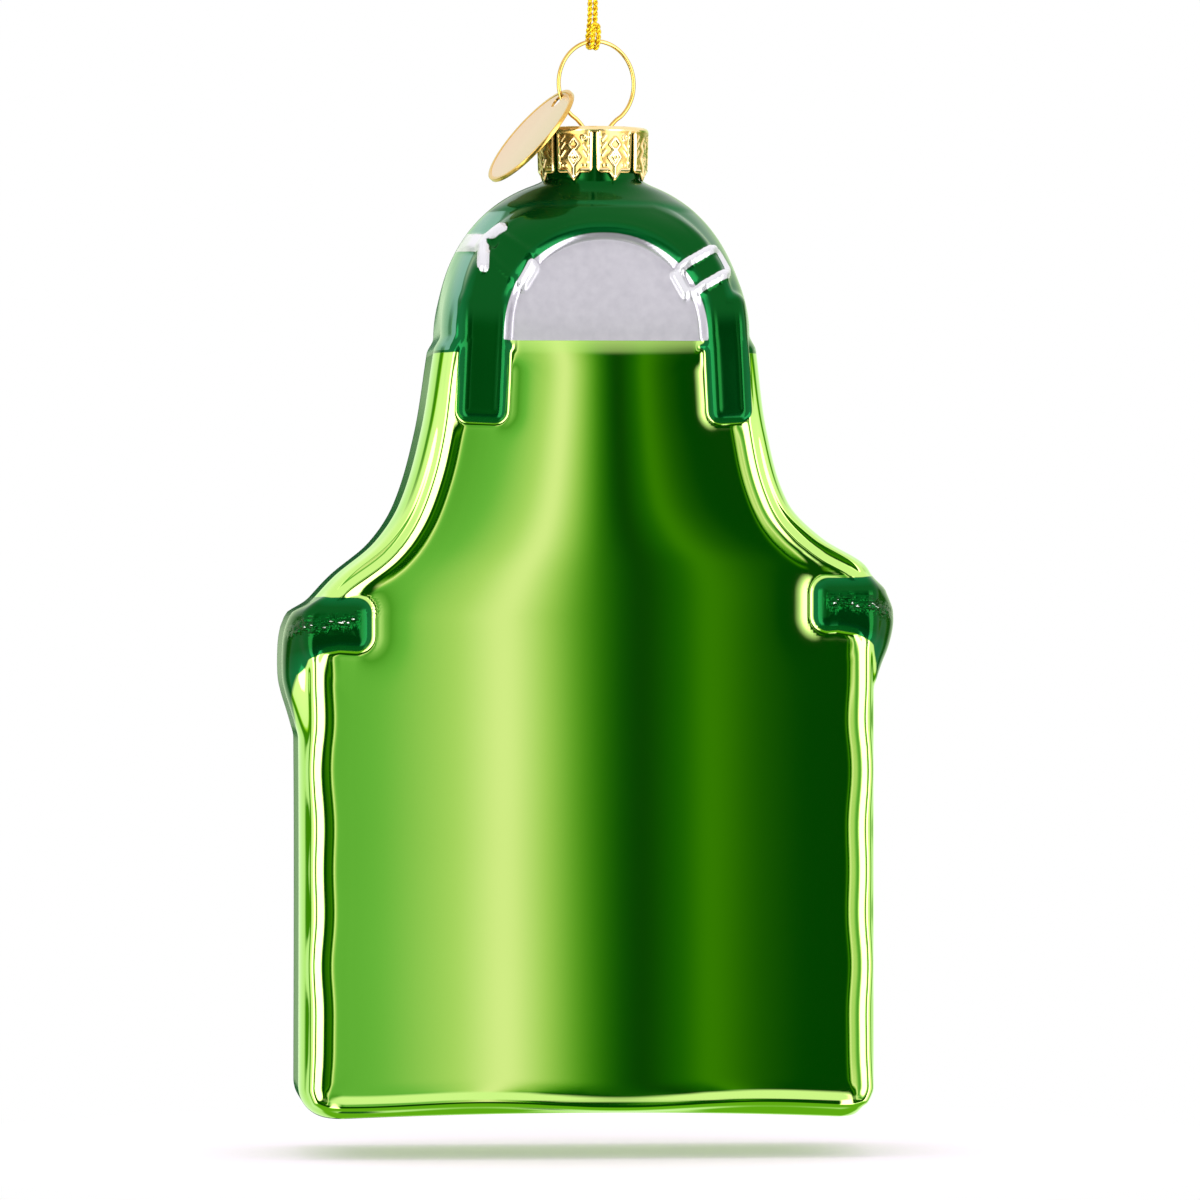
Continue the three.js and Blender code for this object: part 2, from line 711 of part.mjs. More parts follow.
// Overhand knot: a trefoil of the same cord with two short tails
function cordKnot() {
  const reach = knotRadius * 1.5 + cordRadius;
  const knotZ = cordHalf[0][2] + knotGap + reach;
  const knot = new THREE.TorusKnotGeometry(knotRadius, cordRadius, 48, 7, 2, 3);
  knot.rotateX(Math.PI / 2);
  knot.translate(0, 0, knotZ);
  const tail = (sign) => tube([
    [sign * knotRadius * 0.5, 0, knotZ + knotRadius * 0.5],
    [sign * knotRadius * 0.7, 0, knotZ + reach],
    [sign * knotRadius, 0, knotZ + reach + knotTailLength * 0.6],
    [sign * knotRadius * 1.5, 0, knotZ + reach + knotTailLength],
  ], cordRadius * 0.9, 8, 5);
  return solidOf(knot).add(solidOf(tail(-1))).add(solidOf(tail(1)));
}

const ornament = new THREE.Group();

ornament.add(pieceOf('glass_body', geometryOf(glassBody()), silveredGlass));

const cap = pieceOf('cap', geometryOf(crownCap()), goldPlate);
cap.position.z = capTopZ;
ornament.add(cap);

const hanging = new THREE.Group();
hanging.rotation.z = rad(hangerTurn);
const hanger = pieceOf('hanger_wire', hangerWire(), goldWire);
hanger.position.z = ringZ;
hanging.add(hanger);
hanging.add(pieceOf('cord', tube(cordRoute, cordRadius, 8, 78), goldThread));
hanging.add(pieceOf('cord_knot', geometryOf(cordKnot()), goldThread));
ornament.add(hanging);

const seat = tagSeat(tagLean());
const tag = pieceOf('hang_tag', geometryOf(hangTag()), brassFoil);
const tagSideways = new THREE.Vector3().crossVectors(seat.normal, seat.down);
tag.quaternion.setFromRotationMatrix(new THREE.Matrix4().makeBasis(seat.down, tagSideways, seat.normal));
tag.position.copy(seat.centre);
ornament.add(tag);

export default ornament;
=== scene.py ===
import math

import bpy
import numpy as np
from mathutils import Matrix, Vector


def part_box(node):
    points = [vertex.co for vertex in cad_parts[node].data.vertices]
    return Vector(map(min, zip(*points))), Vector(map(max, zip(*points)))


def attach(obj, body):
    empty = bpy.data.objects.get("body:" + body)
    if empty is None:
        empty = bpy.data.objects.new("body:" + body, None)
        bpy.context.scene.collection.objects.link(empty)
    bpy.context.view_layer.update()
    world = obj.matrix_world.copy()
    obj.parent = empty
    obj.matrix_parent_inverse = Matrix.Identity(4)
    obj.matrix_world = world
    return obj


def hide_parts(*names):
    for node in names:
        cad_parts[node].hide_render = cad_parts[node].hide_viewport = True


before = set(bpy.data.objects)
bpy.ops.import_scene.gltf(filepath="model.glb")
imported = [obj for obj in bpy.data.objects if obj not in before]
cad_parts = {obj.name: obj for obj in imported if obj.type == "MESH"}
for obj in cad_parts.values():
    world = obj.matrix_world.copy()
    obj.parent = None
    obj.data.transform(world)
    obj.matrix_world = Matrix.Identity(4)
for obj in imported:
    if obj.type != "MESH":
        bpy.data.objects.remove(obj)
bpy.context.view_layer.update()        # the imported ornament: bodies, nodes, joints, record
mm = 0.001
print("frame loaded")


def addObject(name, data):
    thing = bpy.data.objects.new(name, data)
    bpy.context.collection.objects.link(thing)
    return thing


# Camera: the photograph looks a little from the left, level with the middle of the picture
cameraSet = {
    "azimuth": -4.5,        # degrees, turned towards the ornament's left
    "distance": 900,        # mm
    "height": -90.85,       # row height that the lens looks along
    "aside": 0.84,          # the picture's middle lies this far right of the neck's axis
    "pictureWidth": 139.2,  # mm seen across at the ornament
}


def addCamera():
    s = cameraSet
    turn = math.radians(s["azimuth"])
    right = Vector((math.cos(turn), math.sin(turn), 0))
    back = Vector((math.sin(turn), -math.cos(turn), 0))
    data = bpy.data.cameras.new("camera")
    data.sensor_width = 36
    data.lens = 36 * s["distance"] / s["pictureWidth"]
    data.clip_start, data.clip_end = 0.05, 20
    camera = addObject("camera", data)
    camera.location = (right * s["aside"] + back * s["distance"] + Vector((0, 0, s["height"]))) * mm
    camera.rotation_euler = (math.pi / 2, 0, turn)
    bpy.context.scene.camera = camera


addCamera()


# Colours are written as sRGB, shaders take them linear
def linear(hexCode):
    channels = [int(hexCode[i:i + 2], 16) / 255 for i in (1, 3, 5)]
    return tuple(c / 12.92 if c <= 0.04045 else ((c + 0.055) / 1.055) ** 2.4 for c in channels) + (1,)


def assign(thing, settings):
    for name, value in settings.items():
        setattr(thing, name, value)


# Fills a node's inputs with values, sockets, or nodes, whose first live output is taken
def feed(node, inputs):
    for name, value in inputs.items():
        if isinstance(value, bpy.types.Node):
            value = next(output for output in value.outputs if output.enabled)
        if isinstance(value, bpy.types.NodeSocket):
            node.id_data.links.new(value, node.inputs[name])
        else:
            node.inputs[name].default_value = value


# A material, what adds a node to it, its shader and the place on the piece in metres
def newMaterial(name, **sockets):
    material = bpy.data.materials.new(name)
    material.use_nodes = True

    def addNode(kind, inputs=None, **settings):
        node = material.node_tree.nodes.new("ShaderNode" + kind)
        assign(node, settings)
        feed(node, inputs or {})
        return node

    shader = material.node_tree.nodes["Principled BSDF"]
    feed(shader, {socket.replace("_", " "): value for socket, value in sockets.items()})
    return material, addNode, shader, addNode("TexCoord").outputs["Object"]


def deselectAll():
    for thing in bpy.context.selected_objects:
        thing.select_set(False)


def pickOnly(thing):
    deselectAll()
    thing.select_set(True)
    bpy.context.view_layer.objects.active = thing


# A mesh object from points in mm and lists of corners, shaded smooth
def meshPiece(name, points, faces, sharpAbove=None):
    mesh = bpy.data.meshes.new(name)
    mesh.from_pydata((np.array(points) * mm).tolist(), [], faces)
    mesh.update()
    piece = addObject(name, mesh)
    pickOnly(piece)
    if sharpAbove is None:
        bpy.ops.object.shade_smooth()
    else:
        bpy.ops.object.shade_smooth_by_angle(angle=math.radians(sharpAbove))
    return piece


def applyModifier(piece, kind, **settings):
    modifier = piece.modifiers.new(kind, kind)
    assign(modifier, settings)
    bpy.ops.object.modifier_apply(modifier=modifier.name)


# A number for each point of a piece, which its material reads
def addField(piece, name, values):
    field = piece.data.attributes.new(name, "FLOAT", "POINT")
    field.data.foreach_set("value", np.asarray(values, dtype=np.float32))


def mix(a, b, t):
    return a + (b - a) * t


def ease(x, start, end):
    t = np.clip((x - start) / (end - start), 0, 1)
    return t * t * (3 - 2 * t)


def lengthAlong(line):
    return np.concatenate([[0], np.cumsum(np.linalg.norm(np.diff(line, axis=0), axis=1))])


# A smooth line through chosen points, as centripetal Catmull-Rom, cut into equal steps
def smoothLine(points, step):
    p = np.array(points, dtype=float)
    p = np.vstack([2 * p[0] - p[1], p, 2 * p[-1] - p[-2]])
    curve = []
    for i in range(1, len(p) - 2):
        level = p[i - 1:i + 3]
        knots = np.concatenate([[0], np.cumsum(np.linalg.norm(np.diff(level, axis=0), axis=1) ** 0.5)])
        t = np.linspace(knots[1], knots[2], 24, endpoint=False)[:, None]
        for spans in ([(0, 1), (1, 2), (2, 3)], [(0, 2), (1, 3)], [(1, 2)]):
            level = [
                mix(level[n], level[n + 1], (t - knots[a]) / (knots[b] - knots[a]))
                for n, (a, b) in enumerate(spans)]
        curve.append(level[0])
    line = np.vstack(curve + [p[-2:-1]])
    length = lengthAlong(line)
    at = np.linspace(0, length[-1], max(2, round(length[-1] / step)) + 1)
    return np.stack([np.interp(at, length, line[:, k]) for k in range(3)], axis=1)


# Side vectors carried along a line without twist
def carriedFrames(line):
    tangent = np.gradient(line, axis=0)
    tangent /= np.linalg.norm(tangent, axis=1)[:, None]
    side = np.cross(tangent[0], (0.1, 1, 0.2))
    sides = []
    for t in tangent:
        side = side - np.dot(side, t) * t
        side = side / np.linalg.norm(side)
        sides.append(side)
    sides = np.array(sides)
    return sides, np.cross(tangent, sides)


# A tube with closed ends
def tubeRings(line, radius, sides, startIndex=0):
    across, over = carriedFrames(line)
    angle = (2 * np.pi * np.arange(sides) / sides)[:, None]
    rings = line[:, None] + radius * (across[:, None] * np.cos(angle) + over[:, None] * np.sin(angle))
    faces = []
    for i in range(len(line) - 1):
        for k in range(sides):
            a, b = i * sides + k, i * sides + (k + 1) % sides
            faces.append((a, b, b + sides, a + sides))
    faces.append(range(sides - 1, -1, -1))
    faces.append(range((len(line) - 1) * sides, len(line) * sides))
    return rings.reshape(-1, 3), [tuple(startIndex + c for c in f) for f in faces]


# Two plies wound round a line, which is how the fine metallic cord is laid
def laidCord(line, ply, startIndex=0):
    offset, radius = ply
    across, over = carriedFrames(line)
    points, faces = [], []
    for start in (0, np.pi):
        turn = (2 * np.pi * lengthAlong(line) / cordSet["pitch"] + start)[:, None]
        wound = line + offset * (across * np.cos(turn) + over * np.sin(turn))
        rings, walls = tubeRings(wound, radius, 8, startIndex)
        points.append(rings)
        faces += walls
        startIndex += len(rings)
    return np.vstack(points), faces


hangerTurn = math.radians(18.4)   # the ring's plane is turned by this from the ornament's front


def turned(points):
    p = np.array(points, dtype=float)
    c, s = math.cos(hangerTurn), math.sin(hangerTurn)
    return np.stack([p[:, 0] * c - p[:, 1] * s, p[:, 0] * s + p[:, 1] * c, p[:, 2]], axis=1)


# Cord loop: the same route as the solid's, in mm from the hook: right, away, up
cordSet = {
    "diameter": 0.62,
    "pitch": 1.25,
    "loopPly": (0.15, 0.165),    # how far each ply winds off the middle, and its radius
    "knotPly": (0.145, 0.155),
    "tailPly": (0.13, 0.14),
    "loopStep": 0.11,
    "knotStep": 0.12,
    "knotRadius": 0.85,
    "knotGap": 0.3,
    "tailLength": 2.4,
}
cordHalf = [
    (-0.42, 0, 0.35), (-1.3, 0, -1.1), (-2.6, 0, -3.4), (-3.15, 0, -6.2), (-2.6, 0, -9.2), (-1.4, 0, -12.2),
    (-0.6, 0, -15), (-0.37, 0, -18), (-0.34, 0, -21), (-0.34, 0.1, -23.4), (-0.34, 0.5, -24.9),
    (-0.34, 0.76, -25.9), (-0.34, 0.5, -26.62), (-0.34, -0.12, -26.8), (-0.34, -0.66, -26.4),
    (-0.38, -0.82, -25.4), (-0.34, -0.84, -24.5),
]
cordRoute = turned(cordHalf + [(0, -0.86, -24.05)] + [(-x, y, z) for x, y, z in reversed(cordHalf)])


def makeCord():
    s = cordSet
    line = smoothLine(cordRoute, s["loopStep"])
    cord = meshPiece("cordLoop", *laidCord(line, s["loopPly"]))

    # a trefoil knot, two tails above it and two leads that join it to the loop
    r = s["knotRadius"]
    reach = r * 1.5 + s["diameter"] / 2
    topX, _, topZ = cordHalf[0]
    knotZ = topZ + s["knotGap"] + reach
    up, tail = knotZ + reach, s["tailLength"]
    angle = np.linspace(0, 2 * np.pi, 190)
    swing = r * (1 + 0.5 * np.cos(3 * angle))
    trefoil = np.stack([
        swing * np.cos(2 * angle), r * 0.5 * np.sin(3 * angle), knotZ + swing * np.sin(2 * angle)], axis=1)
    points, faces = laidCord(turned(trefoil), s["knotPly"])
    tailEnd = [(r * 0.5, knotZ + r * 0.5), (r * 0.7, up), (r, up + tail * 0.6), (r * 1.4, up + tail * 0.9)]
    lead = [(topX, topZ - 0.15), (topX, topZ + 0.2), (r * 0.4, knotZ - r * 0.5)]
    for side in (-1, 1):
        for strand in (tailEnd, lead):
            route = smoothLine(turned([(side * x, 0, z) for x, z in strand]), s["knotStep"])
            more, walls = laidCord(route, s["tailPly"], len(points))
            points = np.vstack([points, more])
            faces += walls
    return cord, meshPiece("cordKnot", points, faces), float(lengthAlong(line)[-1])


cordLoop, cordKnot, cordLength = makeCord()
print("cord and knot made, route", round(cordLength, 1), "mm")


# Hanger wire: an oval ring, pinched where it enters the cap, and two sprung legs
wireSet = {
    "diameter": 0.48, "ringZ": -30.95, "halfWidth": 4.72, "halfHeight": 4.95,
    "shift": 0.44,         # the ring's middle lies this far right of the neck's axis
    "mouth": 30,           # degrees on each side of its lowest point where the ring is open
    "footReach": 4.38,
    # each leg from its foot up: share of the way out to the foot, and height from the ring's middle
    "legs": [(1.0, -16.05), (1.0, -13.03), (0.7, -9.79), (0.0, -6.65), (0.0, -5.6)],
    "waist": 1.35,
}


def makeWire():
    s = wireSet
    legs = []
    for sign in (-1, 1):
        leg = []
        for share, down in s["legs"]:
            inner = s["shift"] + (sign * s["waist"] if share == 0 else 0)
            leg.append((mix(inner, sign * s["footReach"], share), 0, s["ringZ"] + down))
        legs.append(leg)
    ring = [
        (s["shift"] + s["halfWidth"] * math.sin(a), 0, s["ringZ"] + s["halfHeight"] * math.cos(a))
        for a in np.radians(np.linspace(-180 + s["mouth"], 180 - s["mouth"], 25))]
    line = smoothLine(turned(legs[0] + ring + legs[1][::-1]), 0.2)
    return meshPiece("hangerRing", *tubeRings(line, s["diameter"] / 2, 20), 50)


hangerRing = makeWire()
print("hanger wire made")


# Crown cap: a turned top whose wall is slit into petals, each pressed with the same ornament
capSet = {
    "radius": 6.47, "topZ": -36.2, "height": 5.35, "edgeRound": 0.5, "wall": 0.3,
    "petals": 8, "turn": -2.6, "slitTop": 0.32, "slitBottom": 0.5, "slitBelowTop": 0.75,
    "corner": 0.55, "tongueWidth": 1.5, "tongueLength": 0.95,
    "ridge": 0.15,         # how far the pressed lines stand out
    "taper": 0.12,         # how far the petals draw in at their ends
    "plain": 0.6,          # how bright the unpressed top is, as a share of a raised line
    "slotHalf": 2.18, "slotWidth": 1.1, "columns": 44, "rows": 50,
    # what is pressed into a petal: x across, y down from the cap's top
    "diamonds": [(1.35, 2.15, 2.95, 0.62, 0.13), (2.6, 3.6, 4.7, 0.72, 0.14), (3.15, 3.6, 4.05, 0.34, 0.1)],
    "stem": ((0, 4.7), (0, 5.9)),
    "eyelet": (1.25, 1.35, 0.3),
    "strokes": [(-1, 1.1), (-1, 1.9), (1, 2.15), (1, 2.85), (-1, 2.8)],
    "dots": [(1.8, 1.3), (1.8, 2.3), (1.8, 3.3), (1.8, 4.2), (1.0, 4.5), (1.5, 4.5)],
}


def lineDistance(x, y, a, b):
    ax, ay = a
    bx, by = b
    t = np.clip(((x - ax) * (bx - ax) + (y - ay) * (by - ay)) / ((bx - ax) ** 2 + (by - ay) ** 2), 0, 1)
    return np.hypot(x - ax - t * (bx - ax), y - ay - t * (by - ay))


def ridge(distance, width):
    return np.exp(-(distance / width) ** 2)


# Height of the pressed ornament on one petal
def petalOrnament(x, y, halfWidth, bottom):
    s = capSet
    marks = [ridge(np.minimum(halfWidth - np.abs(x), bottom - y) - 0.3, 0.13)]
    for top, middle, low, wide, width in s["diamonds"]:
        for side in (-1, 1):
            for end in (top, low):
                marks.append(ridge(lineDistance(x, y, (0, end), (side * wide, middle)), width))
    marks.append(ridge(lineDistance(x, y, *s["stem"]), 0.16))
    acrossEye, downEye, eye = s["eyelet"]
    marks.append(0.9 * ridge(np.hypot(x - acrossEye, y - downEye) - eye, 0.1))
    for side, down in s["strokes"]:
        marks.append(0.75 * ridge(lineDistance(x, y, (side * 1.15, down), (side * 1.65, down + 0.65)), 0.1))
    for aside, down in s["dots"]:
        marks.append(0.7 * ridge(np.hypot(np.abs(x) - aside, y - down), 0.12))
    return np.maximum.reduce(marks)


def makeCap():
    s = capSet
    petals, columns, rows, r = s["petals"], s["columns"], s["rows"], s["radius"]
    sector = 2 * math.pi / petals
    column = np.linspace(-1, 1, columns)
    perRing = petals * columns
    points, pressed, faces = [], [], []

    # Rings of the top and its rounded edge, from the slot's surrounds outwards
    flat, rounding = r - s["edgeRound"], s["edgeRound"]
    rings = [(flat * q, 0.0) for q in (0.5, 0.7, 0.85, 0.95, 1.0)]
    for a in np.linspace(0, math.pi / 2, 9)[1:]:
        rings.append((flat + rounding * math.sin(a), -rounding * (1 - math.cos(a))))

    def angles(down):
        opened = max(0, down - s["slitBelowTop"]) / (s["height"] - s["slitBelowTop"])
        slit = s["slitTop"] + (s["slitBottom"] - s["slitTop"]) * opened
        half = sector / 2 - slit / 2 / r
        first = math.radians(s["turn"]) - math.pi / 2
        return np.concatenate([first + sector * (i + 0.5) + column * half for i in range(petals)])

    for q, z in rings:
        for a in angles(0):
            points.append((q * math.cos(a), q * math.sin(a), s["topZ"] + z))
            pressed.append(s["plain"])
    share = np.linspace(0, 1, rows + 1)[1:]
    downs = rounding + share * (s["height"] - rounding)
    halfWidth = r * sector / 2 - s["slitBottom"] / 2
    x = np.tile(column, petals) * halfWidth
    corner = np.clip((np.abs(x) - (halfWidth - s["corner"])) / s["corner"], 0, 1)
    tongue = np.clip(1 - np.abs(x) / (s["tongueWidth"] / 2), 0, 1)
    bottom = s["height"] - s["corner"] * (1 - np.sqrt(1 - corner ** 2)) + s["tongueLength"] * tongue ** 0.85
    for v, down in zip(share, downs):
        y = rounding + v * (bottom - rounding)
        ornament = petalOrnament(x, y, halfWidth, bottom)
        pressed.extend(ornament.tolist())
        sunk = s["ridge"] * (1 - ornament) * np.clip((y - 0.55) / 0.35, 0, 1)
        out = r - sunk - s["taper"] * (y / s["height"]) ** 2
        for a, o, d in zip(angles(down), out, y):
            points.append((o * math.cos(a), o * math.sin(a), s["topZ"] - d))
    slitRow = len(rings) + int(np.searchsorted(downs, s["slitBelowTop"]))
    for row in range(len(rings) + rows - 1):
        for k in range(perRing):
            if k % columns == columns - 1 and row >= slitRow:
                continue
            a, b = row * perRing + k, row * perRing + (k + 1) % perRing
            faces.append((a, a + perRing, b + perRing, b))

    # The slot for the wire: a long round hole in the top's middle, joined to the first ring
    slot = []
    straight, end = s["slotHalf"] - s["slotWidth"] / 2, s["slotWidth"] / 2
    for a in angles(0) - hangerTurn:
        dx, dy = math.cos(a), math.sin(a)
        t = end / max(abs(dy), 1e-6)
        if t * abs(dx) > straight:
            b = straight * abs(dx)
            t = b + math.sqrt(max(0, b * b - straight ** 2 + end ** 2))
        slot.append((t * dx + wireSet["shift"], t * dy, s["topZ"]))
    base = len(points)
    points.extend(turned(slot))
    for k in range(perRing):
        j = (k + 1) % perRing
        faces.append((base + k, k, j, base + j))
    cap = meshPiece("crownCap", points, faces)
    addField(cap, "pressed", pressed + [s["plain"]] * len(slot))
    applyModifier(cap, "SOLIDIFY", thickness=s["wall"] * mm, offset=-1)
    bpy.ops.object.shade_smooth_by_angle(angle=math.radians(50))
    return cap


crownCap = makeCap()
print("crown cap made,", len(crownCap.data.polygons), "faces")


# Hang tag: a thin stamped disc with a raised rim, hung on the ring by its hole
tagSet = {
    "diameter": 13.8, "thickness": 0.3, "rimWidth": 0.5, "rimRise": 0.08, "wornEdge": 0.05,
    "hole": 2.0, "holeInset": 1.6,
    "normal": (-0.7332, -0.2284, 0.6405),
    "down": (-0.6083, -0.2008, -0.7679),
}


def makeTag():
    s = tagSet
    r, t = s["diameter"] / 2, s["thickness"] / 2
    bpy.ops.mesh.primitive_cylinder_add(vertices=144, radius=r * mm, depth=2 * (t + s["rimRise"]) * mm)
    tag = bpy.context.object
    tag.name = "hangTag"
    bpy.ops.object.mode_set(mode="EDIT")
    bpy.ops.mesh.select_mode(type="FACE")
    for top in (True, False):
        bpy.ops.mesh.select_all(action="DESELECT")
        bpy.ops.object.mode_set(mode="OBJECT")
        for face in tag.data.polygons:
            face.select = abs(face.normal.z) > 0.9 and (face.center.z > 0) == top
        bpy.ops.object.mode_set(mode="EDIT")
        bpy.ops.mesh.inset(thickness=(s["rimWidth"] - s["rimRise"]) * mm)
        bpy.ops.mesh.inset(thickness=s["rimRise"] * mm)
        drop = -s["rimRise"] if top else s["rimRise"]
        bpy.ops.transform.translate(value=(0, 0, drop * mm))
    bpy.ops.object.mode_set(mode="OBJECT")
    applyModifier(
        tag, "BEVEL", width=s["wornEdge"] * mm, segments=3, limit_method="ANGLE",
        angle_limit=math.radians(35))

    deselectAll()
    bpy.ops.mesh.primitive_cylinder_add(
        vertices=64, radius=s["hole"] / 2 * mm, depth=2 * mm, location=((s["holeInset"] - r) * mm, 0, 0))
    punch = bpy.context.object
    pickOnly(tag)
    applyModifier(tag, "BOOLEAN", object=punch, solver="EXACT")
    bpy.data.objects.remove(punch)

    flat = r - s["rimWidth"] - 0.02
    for face in tag.data.polygons:
        x, y, z = face.center / mm
        lying = abs(face.normal.z)
        onRim = math.hypot(x, y) > flat and (abs(z) > t + 0.005 or lying < 0.9)
        inHole = math.hypot(x + r - s["holeInset"], y) < s["hole"] / 2 + 0.01 and lying < 0.5
        face.material_index = int(onRim or inHole)

    # Its seat on the ring is where the solid lies
    low, high = (np.array(c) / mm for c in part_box("hang_tag"))
    normal, down = Vector(s["normal"]).normalized(), Vector(s["down"]).normalized()
    sideways = normal.cross(down).normalized()
    basis = Matrix((down, sideways, normal)).transposed().to_4x4()
    centre = Vector((low + high) / 2) * mm
    tag.data.transform(Matrix.Translation(centre) @ basis)
    bpy.ops.object.shade_smooth_by_angle(angle=math.radians(30))
    return tag


hangTag = makeTag()
print("hang tag made")


# Glass shell. Sizes in mm, heights from the skirt's lowest point, widths from the neck's axis.
glassSet = {
    "bottomZ": -150.25, "bodyHeight": 107.4, "halfDepth": 12.4, "innerWall": 2.2,
    "neckTop": 113.4, "neckRadius": 5.72, "neckWall": 0.8,
    "neckFlare": 1.6,         # soft foot of the neck
    "archRoundness": 2.2, "archOverNeck": 1.1, "bibTop": 88.0, "archStart": 90.0,
    "bottomCorner": 3.6, "bottomSoftness": 1.7, "bottomLift": 0.7, "bottomHalf": 33,
    "innerFloor": (24, 24, 6, 3.2),    # reach to the left, to the right and in depth, height
    "roundAcross": 1.7, "roundDeep": 5.2,
    "crown": 1.3,             # how far the panel's middle stands before its sides
    "crownArch": 0.1,
    "crownFade": (85, 99),    # heights between which the one turns into the other
    "crownBack": 0.3,
}
leftSide = {
    "sign": -1, "skirt": 34.5, "bib": 18.9, "arch": 18.1, "waist": 57.5,
    "armhole": [(0, 1), (0.07, 0.885), (0.16, 0.72), (0.28, 0.44), (0.43, 0.25), (0.7, 0.095), (1, 0)],
    "tieEnd": 26.3, "tieHeight": 56.6, "lobeHalf": 8.2, "drapeIn": 0.0,
    # how far the side stands out by the height above the tie's middle: the tie drapes below it
    "wrap": [
        (-60, -0.05), (-13.2, -0.05), (-11.4, 0.37), (-9.7, 0.87), (-8.1, 1.37), (-6.5, 1.74), (-4.9, 1.84),
        (-3.2, 1.83), (-1.6, 1.72), (0, 1.37), (1.6, 0.55), (2.6, 0.1), (3.4, 0), (40, 0),
    ],
}
rightSide = {
    "sign": 1, "skirt": 32.3, "bib": 18.3, "arch": 17.5, "waist": 60.3,
    "armhole": [(0, 1), (0.08, 0.94), (0.13, 0.86), (0.22, 0.56), (0.37, 0.27), (0.67, 0.09), (1, 0)],
    "tieEnd": 24.4, "tieHeight": 58.9, "lobeHalf": 6.2, "drapeIn": 0.6,
    "wrap": [
        (-60, -0.5), (-9.9, -0.5), (-9.1, -0.35), (-7.7, 0.15), (-6.5, 0.6), (-5.3, 1.1), (-4, 1.5),
        (-2.7, 1.77), (-1.6, 1.84), (-0.5, 1.75), (0.5, 1.4), (1.7, 0.85), (3.6, 0), (40, 0),
    ],
}


# A smooth curve through a table's points
def along(table, t):
    x, y = np.array(table, dtype=float).T
    t = np.clip(t, x[0], x[-1])
    after = np.clip(np.searchsorted(x, t), 1, len(x) - 1)
    before = after - 1
    slope = np.empty(len(x))
    for i in range(len(x)):
        a, b = max(i - 1, 0), min(i + 1, len(x) - 1)
        slope[i] = (y[b] - y[a]) / (x[b] - x[a])
    span = x[after] - x[before]
    u = (t - x[before]) / span
    return (y[before] * (1 + 2 * u) * (1 - u) ** 2 + slope[before] * span * u * (1 - u) ** 2
            + y[after] * u * u * (3 - 2 * u) - slope[after] * span * u * u * (1 - u))


def smoothMax(a, b, k):
    t = np.clip(0.5 + 0.5 * (a - b) / k, 0, 1)
    return mix(b, a, t) + k * t * (1 - t)


# The arch is half a flattened ellipse that runs softly into the neck
def archSwell(h, size):
    g = glassSet
    s = np.clip((h - g["archStart"]) / (g["bodyHeight"] - g["archStart"] + g["archOverNeck"]), 0, 1)
    n = g["archRoundness"]
    swell = size * (1 - s ** n) ** (1 / n)
    return smoothMax(swell, g["neckRadius"], g["neckFlare"])


def sideWidth(h, side):
    g = glassSet
    share = along(side["armhole"], (h - side["waist"]) / (g["bibTop"] - side["waist"]))
    width = mix(side["bib"], side["skirt"], share)
    width = np.where(h <= side["waist"], side["skirt"], width)
    shoulder = mix(side["bib"], side["arch"], ease(h, g["bibTop"], g["archStart"]))
    width = np.where(h >= g["bibTop"], shoulder, width)
    return np.where(h >= g["archStart"], archSwell(h, side["arch"]), width)


def depthAt(h):
    g = glassSet
    return np.where(h >= g["archStart"], archSwell(h, g["halfDepth"]), g["halfDepth"])


# The ring's stretches, round from the middle of the front: which way each faces, its columns as shares
# of a flat or turns of a corner, and its start and pace on the neck's circle in eighths of a turn
def ringStretches():
    quarter = math.pi / 2
    fine, coarse, flat = np.linspace(0, quarter, 21), np.linspace(0, quarter, 11), np.linspace(-1, 1, 15)
    # the columns stand closest where the rim and the ties run
    front = np.concatenate([
        np.linspace(0, 0.55, 35)[:-1], np.linspace(0.55, 0.84, 27)[:-1], np.linspace(0.84, 1, 30)])
    back = 1 - np.concatenate([np.linspace(0, 0.36, 13)[:-1], np.linspace(0.36, 1, 6)])
    return [
        ((0, -1), np.concatenate([-front[::-1], front[1:]]), -2, 0.9),
        ((1, -1), fine[1:], -1.1, 0.6 / quarter),
        ((1, 0), flat[1:], 0, 0.5),
        ((1, 1), coarse[1:], 0.5, 0.6 / quarter),
        ((0, 1), np.concatenate([back, -back[-2::-1]])[1:], 2, -0.9),
        ((-1, 1), coarse[1:], 2.9, 0.6 / quarter),
        ((-1, 0), -flat[1:], 4, -0.5),
        ((-1, -1), fine[1:-1], 4.5, 0.6 / quarter),
    ]


glassColumns = [(facing, q) for facing, places, _, _ in ringStretches() for q in places]
ringAngles = np.array([
    math.pi / 4 * (start + q * pace) for _, places, start, pace in ringStretches() for q in places])


